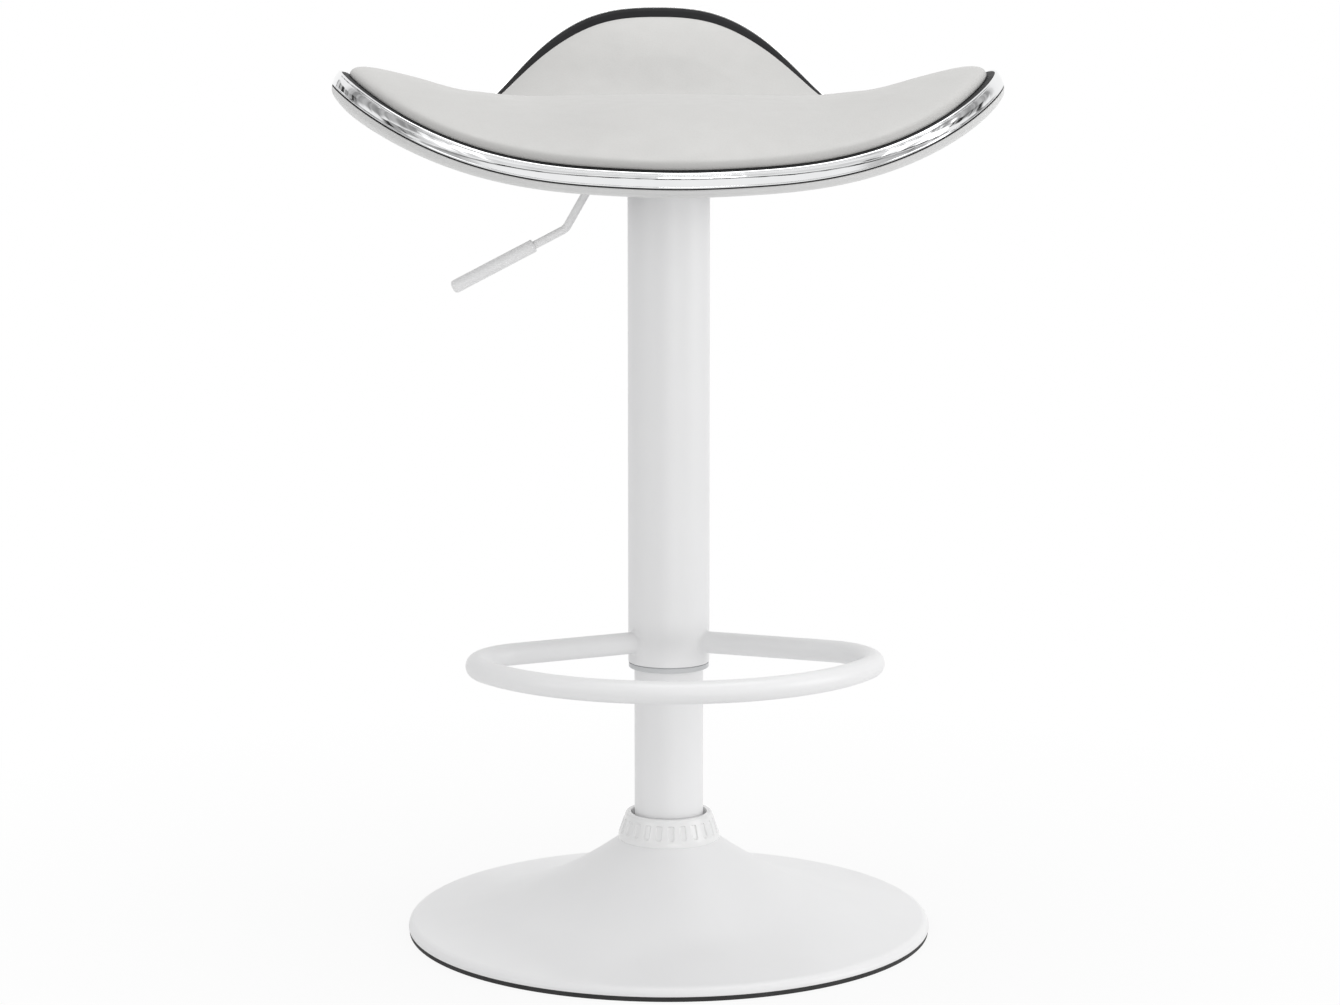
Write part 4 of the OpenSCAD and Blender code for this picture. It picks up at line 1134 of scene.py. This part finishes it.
def swell_cloth(piece, rows):
    """Swells an even mesh with air pressure, held near the board, and gives how far each point moves."""
    start = coordinates(piece.data)
    # The pad's underside stands for the board, from its fourth row inside the foot
    under = rows[PAD_FOOT + 4 :]
    under_points = [Vector(p) for p in under.reshape(-1, 3)]
    board = BVHTree.FromPolygons(under_points, grid_faces(*under.shape[:2]))
    held = [i for i, p in enumerate(start) if board.find_nearest(Vector(p))[3] < PAD_HELD_WITHIN]
    piece.vertex_groups.new(name="held").add(held, 1.0, "REPLACE")
    cloth = piece.modifiers.new("swell", "CLOTH")
    settings = cloth.settings
    settings.quality = 5
    settings.mass = 0.3
    settings.tension_stiffness = 12
    settings.compression_stiffness = 12
    settings.bending_stiffness = 2
    settings.use_pressure = True
    settings.uniform_pressure_force = 4
    settings.vertex_group_mass = "held"
    settings.effector_weights.gravity = 0
    cloth.collision_settings.use_collision = False
    scene = bpy.context.scene
    for number in range(1, PAD_FRAMES + 1):
        scene.frame_set(number)
    graph = bpy.context.evaluated_depsgraph_get()
    result = bpy.data.meshes.new_from_object(piece.evaluated_get(graph))
    scene.frame_set(1)
    shift = coordinates(result) - start
    bpy.data.meshes.remove(result)
    return shift


def swollen(rows, sizes):
    """Rows of the cushion after air pressure has swollen a cloth copy of it, held down at its foot."""
    copy = wrapped("pad_cloth", rows[:, ::2], finish_of("leather"))
    remesh = copy.modifiers.new("even", "REMESH")
    remesh.mode = "VOXEL"
    remesh.voxel_size = PAD_VOXEL
    keep_result(copy)
    start = coordinates(copy.data)
    corners = [tuple(p.vertices) for p in copy.data.polygons]
    shift = swell_cloth(copy, rows)
    drop(copy)
    nothing = 1e-9
    far = np.linalg.norm(shift, axis=1, keepdims=True)
    # The way that a point moves is eased towards a cap
    cap = sizes.pad_swell * 2
    shift *= np.where(far > nothing, cap * np.tanh(far / cap) / np.maximum(far, nothing), 0)
    # The swelling is carried over to the smooth rows through the nearest faces of the cloth
    tree = BVHTree.FromPolygons([Vector(p) for p in start], corners)
    carried = np.zeros(rows.shape)
    for r in range(PAD_FOOT + 1):
        for c in range(rows.shape[1]):
            ring = corners[tree.find_nearest(Vector(rows[r, c]))[2]]
            near = np.array([1 / (np.linalg.norm(start[v] - rows[r, c]) + 1e-5) for v in ring])
            carried[r, c] = (shift[list(ring)] * (near / near.sum())[:, None]).sum(axis=0)
    smoothing_rounds, fading_rows = 14, 9
    for _ in range(smoothing_rounds):
        carried = (
            carried * 2
            + np.roll(carried, 1, axis=1)
            + np.roll(carried, -1, axis=1)
            + np.concatenate([carried[:1], carried[:-1]])
            + np.concatenate([carried[1:], carried[-1:]])
        ) / 6
    fade = np.ones(rows.shape[0])
    fade[PAD_FOOT + 1 - fading_rows : PAD_FOOT + 1] = np.linspace(1, 0, fading_rows)
    fade[PAD_FOOT + 1 :] = 0
    return rows + carried * fade[:, None, None]


# Operators


class STOOL_OT_base(bpy.types.Operator):
    """Makes the round base: the spun dish and the rubber ring that it stands on"""

    bl_idname = "stool.base"
    bl_label = "Base"

    def execute(self, context):
        base = context.scene.stool.base
        dish = spun("base_cover", dish_outline(base), finish_of("coat"), BASE_SEGMENTS)
        finish(dish, "base", ["base_dish"])
        ring = spun("floor_ring_rubber", ring_outline(base), finish_of("rubber"), BASE_SEGMENTS)
        finish(ring, "base", ["floor_ring"])
        return {"FINISHED"}


class STOOL_OT_column(bpy.types.Operator):
    """Makes the fixed column and the four screws that hold its flange"""

    bl_idname = "stool.column"
    bl_label = "Column"

    def execute(self, context):
        sizes = context.scene.stool.column
        outline = tube_outline(sizes.radius, sizes.wall, low_of("column"), high_of("column"))
        finish(spun("column_tube", outline, finish_of("coat")), "base", ["column"])
        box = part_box("flange_screw_1")
        screw = socket_screws("flange_screws", box, low_of("base_plate"), 4 * MM, 2.6 * MM)
        finish(screw, "base", [f"flange_screw_{i}" for i in range(1, 5)])
        return {"FINISHED"}


class STOOL_OT_collar(bpy.types.Operator):
    """Makes the fluted collar on the neck of the base"""

    bl_idname = "stool.collar"
    bl_label = "Collar"

    def execute(self, context):
        base = context.scene.stool.base
        collar = new_piece("fluted_collar", *collar_sector(base, low_of("collar_ring")))
        grow(collar, "ring_of_copies", Count=base.flutes, Material=finish_of("collar"))
        finish(collar, "base", ["collar_ring"])
        return {"FINISHED"}


class STOOL_OT_lift_tube(bpy.types.Operator):
    """Makes the tube that rises with the seat and the guide bush in its lower end"""

    bl_idname = "stool.lift_tube"
    bl_label = "Lift tube"

    def execute(self, context):
        sizes = context.scene.stool.column
        low, high = low_of("lift_tube"), high_of("lift_tube") + CASE_RAISE
        outline = tube_outline(sizes.tube_radius, sizes.wall, low, high)
        tube = spun("lift_tube_sleeve", outline, finish_of("coat"))
        finish(tube, "seat_assembly", ["lift_tube"])
        bush = spun("guide_bush", bush_outline(sizes, low), finish_of("guide"))
        finish(bush, "seat_assembly", ["tube_bush"])
        return {"FINISHED"}


class STOOL_OT_footrest(bpy.types.Operator):
    """Makes the looped footrest and the welds that hold its two arms"""

    bl_idname = "stool.footrest"
    bl_label = "Footrest"

    def execute(self, context):
        sizes = context.scene.stool.column
        coat = finish_of("coat")
        low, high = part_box("footrest")
        height = (low.z + high.z) / 2
        path, along = footrest_path(sizes)
        loop = bar("footrest_bar", [(x, y, height) for x, y in path], sizes.foot_radius, 40, coat)
        self.fit_ends(loop, sizes, along)
        welds = [weld_fillet(f"weld_{s}", sizes, height, along, s, coat) for s in (1, -1)]
        finish(joined("footrest_loop", loop, *welds), "seat_assembly", ["footrest"])
        return {"FINISHED"}

    @staticmethod
    def fit_ends(loop, sizes, along):
        """Slides the ends of the bar along the arms on to the tube's round face."""
        target = sizes.tube_radius - 0.05 * MM
        for vertex in loop.data.vertices:
            p = vertex.co
            if math.hypot(p.x, p.y) < sizes.tube_radius:
                side = 1 if p.x > 0 else -1
                arm = Vector((side * along.x, along.y))
                flat = Vector((p.x, p.y))
                far = flat.dot(arm)
                across = flat - arm * far
                far = math.sqrt(target**2 - across.length_squared)
                p.x, p.y = across + arm * far


class STOOL_OT_mechanism(bpy.types.Operator):
    """Makes the pressed parts of the mechanism under the seat and the bolts that hold it"""

    bl_idname = "stool.mechanism"
    bl_label = "Mechanism"

    def execute(self, context):
        steel = finish_of("dark_steel")
        for name, node, width in (
            ("mounting_plate", "mount_plate", 0.7 * MM),
            ("lift_mechanism_case", "mechanism_box", 0.5 * MM),
            ("taper_cup", "taper_socket", 0.8 * MM),
        ):
            piece = softened(name, node, steel, width)
            if node == "mechanism_box":
                # The case's floor sits a little higher, behind the shell's lower edge
                for vertex in piece.data.vertices:
                    if vertex.co.z < low_of(node) + 2.5 * MM:
                        vertex.co.z += CASE_RAISE
            finish(piece, "seat_assembly", [node], closed=False)
        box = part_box("seat_bolt_1")
        bolt = socket_screws("seat_bolts", box, low_of("mount_plate"), 3 * MM, 1.9 * MM)
        finish(bolt, "seat_assembly", [f"seat_bolt_{i}" for i in range(1, 5)])
        return {"FINISHED"}


class STOOL_OT_lever(bpy.types.Operator):
    """Makes the lever: its bent rod with the hub on the pivot, and the grip"""

    bl_idname = "stool.lever"
    bl_label = "Lever"

    def execute(self, context):
        sizes = context.scene.stool.lever
        coat = finish_of("coat")
        height = sizes.height
        first = (-sizes.first_bend, height)
        second = (first[0] - sizes.bend_run, height - sizes.bend_drop)
        tip = (second[0] - sizes.tip_run, second[1] - sizes.tip_drop)
        along = (Vector(tip) - Vector(second)).normalized()
        last = Vector(tip) - along * 2 * sizes.radius
        start = (high_of("lever_rod", 0), height)
        path = [start, *bend(start, first, second, sizes.bend_radius)]
        path += [*bend(first, second, tip, sizes.bend_radius), tuple(last)]
        rod = bar("lever_bar", [(x, 0, z) for x, z in path], sizes.radius, 28, coat)
        hub = self.hub(sizes, coat)
        finish(joined("lever_rod_bent", rod, hub), "lever", ["lever_rod"])
        finish(self.grip(sizes, tip, along, coat), "lever", ["lever_grip"])
        return {"FINISHED"}

    @staticmethod
    def hub(sizes, material):
        """The short sleeve welded across the rod, round the pivot pin."""
        half, bore, outer = 7 * MM, 1.55 * MM, sizes.radius + 1.5 * MM
        outline = rounded([(outer, -half), (outer, half), (bore, half), (bore, -half)], 0.4 * MM)
        hub = spun("lever_hub", outline, material, 40)
        for vertex in hub.data.vertices:
            x, y, z = vertex.co
            vertex.co = (-sizes.pivot + x, -z, sizes.height + y)
        return hub

    @staticmethod
    def grip(sizes, tip, along, material):
        """The grip over the rod's end: a sleeve with a softly domed nose."""
        r, total, bore = sizes.grip_radius, sizes.grip_length, sizes.radius + 0.02 * MM
        nose = [(r, total - 4 * MM), (r * 0.985, total - 2.6 * MM), (r * 0.9, total - 1.2 * MM),
                (r * 0.7, total - 0.35 * MM), (r * 0.4, total - 0.05 * MM), (0, total)]
        outline = [(bore, 0.3 * MM), (bore + 0.3 * MM, 0), (r - 0.8 * MM, 0), (r - 0.25 * MM, 0.25 * MM),
                   (r, 0.9 * MM), (r, 4 * MM), *nose, (0, total - sizes.radius), (bore, total - sizes.radius)]
        grip = spun("lever_grip_sleeve", outline, material, 48)
        side = Vector((-along.y, along.x))
        begin = Vector(tip) - along * total
        for vertex in grip.data.vertices:
            x, y, z = vertex.co
            flat = begin + along * z + side * x
            vertex.co = (flat.x, y, flat.y)
        return grip


class STOOL_OT_seat_edge(bpy.types.Operator):
    """Makes the bright trim round the seat and the black strip behind it"""

    bl_idname = "stool.seat_edge"
    bl_label = "Seat edge"

    def execute(self, context):
        seat = context.scene.stool.seat
        form = SeatForm(seat)
        h = seat.trim_height / MM
        # Both sections are [out, up] from the rim in millimetres, outer side upwards
        face = [
            (-0.25, -h), (0.2, -h + 0.12), (0.5, -h + 0.5), (0.52, -h + 1.1), (0.48, -h + 1.5),
            (0.72, -h + 2.7), (0.93, -h + 4.1), (1.0, -h / 2), (0.93, -4.1), (0.7, -2.7), (0.46, -1.9),
            (0.55, -1.5), (0.58, -1.0), (0.42, -0.45), (0.0, -0.08), (-0.5, 0.0), (-1.0, -0.1),
            (-1.32, -0.45), (-1.4, -1.0), (-1.4, -h / 2), (-1.4, -h + 1), (-1.3, -h + 0.35),
            (-0.9, -h + 0.03),
        ]
        strip = rounded(
            [(-0.2, -h - 0.8), (-0.2, -h - 0.2), (-1.6, -h - 0.2), (-1.6, -0.4), (-2.8, 0.1), (-4.4, 0.4),
             (-14.0, 0.35), (-14.0, 0.1), (-5.4, 0.1), (-5.4, -h - 0.8)],
            [0.25, 0.2, 0.1, 0.3, 0.8, 0.8, 0.1, 0.1, 0.1, 0.3],
        )
        trim = rim_band("bright_trim", form, eased_line(face, 3, closed=True), finish_of("chrome"))
        finish(trim, "seat_assembly", ["chrome_trim"])
        strip = rim_band("edge_strip_vinyl", form, strip, finish_of("edge"))
        finish(strip, "seat_assembly", ["edge_strip"])
        return {"FINISHED"}


class STOOL_OT_under_shell(bpy.types.Operator):
    """Makes the moulded shell under the seat"""

    bl_idname = "stool.under_shell"
    bl_label = "Under-shell"

    def execute(self, context):
        seat = context.scene.stool.seat
        form = SeatForm(seat)
        angle = seat_angles()
        top = -(seat.trim_height + 1.1 * MM)
        fall, thick, turn = seat.shell_drop + top, seat.shell_thickness, seat.shell_turn
        edge = -turn - 0.2 * MM
        # Shares of the way in and down of the wall, from the trim to the shell's flat floor
        shares = [(0, 0), (0.06, 0.34), (0.23, 0.64), (0.5, 0.87), (1, 1)]
        wall = eased_line([(-turn * p - 0.2 * MM, top - fall * q) for p, q in shares], 5)
        inner = eased_line(
            [(-turn * p - 0.2 * MM - thick * (1 - p), top - (fall - thick) * q) for p, q in shares], 5
        )
        lip_out, lip_in = wall[0][0], inner[0][0]
        lip = [
            (lip_out, top - 0.6 * MM), (lip_out - 0.15 * MM, top - 0.15 * MM), (lip_out - 0.6 * MM, top),
            (lip_in + 0.6 * MM, top), (lip_in + 0.1 * MM, top - 0.2 * MM),
        ]
        across = np.linspace(0.05, 0.985, 32)
        rows = [self.flat_row(form, angle, s, edge, -seat.shell_drop) for s in across]
        rows += [form.rim(angle, o, u) for o, u in wall[:0:-1] + lip + inner[1:]]
        rows += [self.flat_row(form, angle, s, edge, -seat.shell_drop + thick) for s in across[::-1]]
        shell = wrapped("seat_shell", np.array(rows), finish_of("shell"))
        finish(shell, "seat_assembly", ["under_shell"])
        return {"FINISHED"}

    @staticmethod
    def flat_row(form, angle, share, edge, up):
        """A row that follows the board, and eases into the rim's own frame at the edge."""
        row = form.inside(angle, share, edge, up)
        step = form.rim(angle, edge, up) - form.inside(angle, 1.0, edge, up)
        return row + step * ease((share - 0.75) / 0.25)


class STOOL_OT_cushion(bpy.types.Operator):
    """Makes the padded cushion: a crowned pad with a rolled edge, swollen by air pressure and upholstered"""

    bl_idname = "stool.cushion"
    bl_label = "Cushion"

    def execute(self, context):
        seat = context.scene.stool.seat
        rows = pad_start_rows(SeatForm(seat), seat)
        rows = swollen(rows, seat)
        pad = wrapped("seat_cushion", rows, finish_of("leather"))
        finish(pad, "seat_assembly", ["cushion"])
        return {"FINISHED"}


class STOOL_OT_inner_parts(bpy.types.Operator):
    """Gives the hidden parts of the frame, such as the gas lift and the board, their finishes"""

    bl_idname = "stool.inner_parts"
    bl_label = "Inner parts"

    nodes_by_finish = {
        "rolled_steel": ["base_plate", "column_flange", "column_plug"],
        "guide": ["column_bush"],
        "zinc": ["thrust_washer", "thrust_race", "rod_clip", "pivot_pin"]
        + [f"{kind}_{i}" for kind in ("spacer", "tee_nut") for i in range(1, 5)],
        "ground_rod": ["piston_rod", "release_pin"],
        "seal": ["piston", "rod_guide", "tube_cap"],
        "dark_steel": ["gas_cylinder"],
        "plywood": ["seat_board"],
    }

    def execute(self, context):
        wanted = {node: key for key, nodes in self.nodes_by_finish.items() for node in nodes}
        for node, key in wanted.items():
            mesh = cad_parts[node].data
            mesh.materials.clear()
            mesh.materials.append(finish_of(key))
        bare = [n for n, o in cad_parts.items() if not o.hide_render and n not in wanted]
        if bare:
            raise RuntimeError(f"nodes without a finish: {bare}")
        return {"FINISHED"}


# The lamps: name, place, the point that each faces, its two sizes and its power
LAMPS = (
    ("lamp_right", (2.9, -0.9, 1.0), (0, 0, 0.35), (1.6, 1.6), 24),
    ("lamp_left", (-2.6, -1.6, 1.0), (0, 0, 0.3), (1.2, 1.6), 10),
    ("lamp_low", (0.5, -2.9, 0.16), (0, 0, 0.3), (1.8, 0.25), 9),
    ("lamp_top", (0.2, 0.1, 3.0), (0, 0, 0.4), (2.4, 2.0), 40),
)
# Dark and grey cards round the seat that only mirrors see. They draw the streaks in the bright trim. Each is
# a band of a ball: name, tone, radius, its azimuths, elevations and soft edge in degrees, and how far it is
# broken up along its length
CARD_CENTRE = (0, 0, 0.6)
CARDS = (
    ("card_front", 0.015, 1.5, (-175, -10), (-19.5, -12.2), 1.6, 0.4),
    ("card_front_high", 0.72, 2.6, (-170, -8), (-10.5, 6), 3, 0.4),
    ("card_left_grey", 0.3, 3.0, (138, 222), (4, 44), 9, 0.35),
    ("card_left_low", 0.42, 0.95, (146, 216), (-33, -8), 7, 0.3),
    ("card_left_dark", 0.01, 2.7, (174, 198), (-9, 6), 3, 0.4),
    ("card_left_tip", 0.02, 2.8, (120, 160), (3, 17), 3, 0.7),
    ("card_right_grey", 0.34, 3.0, (-42, 42), (5, 44), 9, 0.35),
    ("card_right_low", 0.5, 0.95, (-36, 38), (-33, -8), 7, 0.3),
    ("card_right_dark", 0.01, 2.8, (-14, 24), (1, 15), 3, 0.6),
    ("card_right_streak", 0.02, 2.5, (-38, 8), (-12, -5), 2, 0.5),
)


class STOOL_OT_stage(bpy.types.Operator):
    """Makes the pale floor, the soft lamps, the white surroundings and the camera"""

    bl_idname = "stool.stage"
    bl_label = "Stage"

    def execute(self, context):
        scene = context.scene
        scene.view_settings.view_transform = "Standard"
        self.surroundings(scene)
        self.floor()
        for settings in LAMPS:
            self.lamp(*settings)
        for settings in CARDS:
            self.card(*settings)
        self.camera(scene)
        return {"FINISHED"}

    @staticmethod
    def seen_as_white(tree):
        """1 where a ray from the camera, a mirror or a glass arrives, or else 0."""
        path = tree.nodes.new("ShaderNodeLightPath").outputs
        seen = maths(tree, "MAXIMUM", path["Is Camera Ray"], path["Is Glossy Ray"])
        return maths(tree, "MAXIMUM", seen, path["Is Transmission Ray"])

    def surroundings(self, scene):
        """Soft light from all round, seen as plain white."""
        world = bpy.data.worlds.new("studio")
        scene.world = world
        world.use_nodes = True
        tree = world.node_tree
        light = tree.nodes["Background"]
        light.inputs["Color"].default_value = (1, 1, 1, 1)
        strength = maths(tree, "MULTIPLY_ADD", self.seen_as_white(tree), 0.4, 0.6)
        tree.links.new(strength, light.inputs["Strength"])

    @staticmethod
    def glowing(name, tone):
        """A material with a plain glow that isn't used as a lamp: the material, its tree and the glow."""
        material, tree = new_material(name)
        material.cycles.emission_sampling = "NONE"
        glow = add_node(tree, "ShaderNodeEmission", {"Color": (tone, tone, tone, 1), "Strength": 1.0})
        return material, tree, glow.outputs[0]

    @staticmethod
    def show_mix(tree, share, first, second):
        """Ends a material's tree with a mix of two shaders."""
        mix = add_node(tree, "ShaderNodeMixShader", {0: share, 1: first, 2: second})
        tree.links.new(mix.outputs[0], tree.nodes["Material Output"].inputs["Surface"])

    def floor(self):
        """A wide pale floor that takes the stool's shadow and fades to plain white round it."""
        material, tree, white = self.glowing("studio_floor", 1)
        paint = tree.nodes["Principled BSDF"]
        paint.inputs["Base Color"].default_value = (0.7, 0.7, 0.7, 1)
        paint.inputs["Roughness"].default_value = 0.8
        paint.inputs["Specular IOR Level"].default_value = 0.1
        place = tree.nodes.new("ShaderNodeTexCoord").outputs["Object"]
        away = add_node(tree, "ShaderNodeVectorMath", {0: place}, operation="LENGTH").outputs["Value"]
        whiter = ranged(tree, away, 0.9, 1.0, 0.2, 0.8)
        share = maths(tree, "MULTIPLY", self.seen_as_white(tree), whiter)
        self.show_mix(tree, share, paint.outputs[0], white)
        sides, radius = 96, 9
        turn = [FULL_TURN * i / sides for i in range(sides)]
        points = [(radius * math.cos(a), radius * math.sin(a), 0) for a in turn]
        floor = new_piece("studio_floor", points, [range(sides)], material=material)

    @staticmethod
    def lamp(name, place, target, size, power):
        """A soft rectangular lamp that faces a point."""
        light = bpy.data.lights.new(name, "AREA")
        light.shape = "RECTANGLE"
        light.size, light.size_y = size
        light.energy = power
        holder = linked(name, light)
        holder.location = place
        holder.rotation_euler = (Vector(target) - Vector(place)).to_track_quat("-Z", "Y").to_euler()

    def card(self, name, tone, radius, azimuths, elevations, soft, broken):
        """One card: a band of a ball round the seat, with soft wavy edges and thin places along it."""
        material, tree, glow = self.glowing(name, tone)
        clear = tree.nodes.new("ShaderNodeBsdfTransparent").outputs[0]
        cover = add_node(tree, "ShaderNodeAttribute", attribute_name="cover").outputs["Fac"]
        self.show_mix(tree, cover, clear, glow)
        columns, rows = 161, 33
        across = np.linspace(*azimuths, columns)[None, :]
        upwards = np.linspace(*elevations, rows)[:, None]
        wave = np.sin(across * 0.31 + elevations[0]) + np.sin(across * 0.83 + azimuths[0])
        wave = wave + 0.6 * np.sin(across * 1.9)
        level = upwards + wave * soft * 0.3 * np.sin(across * 0.11 + 1)
        inside = ease(np.minimum(level - elevations[0], elevations[1] - level) / soft)
        ends = ease(np.minimum(across - azimuths[0], azimuths[1] - across) / (soft * 1.5))
        covered = inside * ends * (1 - broken * ease(0.5 - 0.45 * wave))
        turn, tilt = np.broadcast_arrays(np.radians(across), np.radians(upwards))
        ball = np.stack([np.cos(turn) * np.cos(tilt), np.sin(turn) * np.cos(tilt), np.sin(tilt)], axis=-1)
        faces = grid_faces(rows, columns, round_columns=False)
        card = new_piece(name, ball.reshape(-1, 3) * radius + CARD_CENTRE, faces, material=material)
        card.data.attributes.new("cover", "FLOAT", "POINT").data.foreach_set("value", covered.ravel())
        card.visible_camera = card.visible_diffuse = card.visible_shadow = card.visible_transmission = False

    @staticmethod
    def camera(scene):
        """The camera where the photograph was taken from."""
        data = bpy.data.cameras.new("photo_camera")
        data.sensor_width = 36
        data.lens = 88.4
        data.shift_y = -0.07
        camera = linked("photo_camera", data)
        camera.location = (-0.1203, -2.3921, 0.6743)
        camera.rotation_euler = (math.radians(90 - 6.8), 0, math.radians(-2.9))
        scene.camera = camera


class VIEW3D_PT_stool(bpy.types.Panel):
    """Sidebar panel of the bar stool"""

    bl_label = "Bar stool"
    bl_idname = "VIEW3D_PT_stool"
    bl_space_type = "VIEW_3D"
    bl_region_type = "UI"
    bl_category = "Bar stool"

    def draw(self, context):
        layout = self.layout
        stool = context.scene.stool
        for operator in OPERATORS:
            layout.operator(operator.bl_idname)
        for group in ("base", "column", "lever", "seat", "colours"):
            box = layout.box()
            box.label(text=group.capitalize())
            sizes = getattr(stool, group)
            for key in sizes.__annotations__:
                box.prop(sizes, key)


OPERATORS = (
    STOOL_OT_base,
    STOOL_OT_column,
    STOOL_OT_collar,
    STOOL_OT_lift_tube,
    STOOL_OT_footrest,
    STOOL_OT_mechanism,
    STOOL_OT_lever,
    STOOL_OT_seat_edge,
    STOOL_OT_under_shell,
    STOOL_OT_cushion,
    STOOL_OT_inner_parts,
    STOOL_OT_stage,
)
GROUPS = (StoolBase, StoolColumn, StoolLever, StoolSeat, StoolColours, StoolSettings)


def register():
    """Adds the settings, the operators and the panel."""
    for cls in GROUPS + OPERATORS + (VIEW3D_PT_stool,):
        bpy.utils.register_class(cls)
    bpy.types.Scene.stool = PointerProperty(type=StoolSettings)


def unregister():
    """Takes them away again."""
    del bpy.types.Scene.stool
    for cls in reversed(GROUPS + OPERATORS + (VIEW3D_PT_stool,)):
        bpy.utils.unregister_class(cls)


def main():
    """Makes the stool and its stage."""
    register()
    bpy.ops.stool.base()
    bpy.ops.stool.column()
    bpy.ops.stool.collar()
    bpy.ops.stool.lift_tube()
    bpy.ops.stool.footrest()
    bpy.ops.stool.mechanism()
    bpy.ops.stool.lever()
    bpy.ops.stool.seat_edge()
    bpy.ops.stool.under_shell()
    bpy.ops.stool.cushion()
    bpy.ops.stool.inner_parts()
    bpy.ops.stool.stage()


if __name__ == "__main__":
    main()
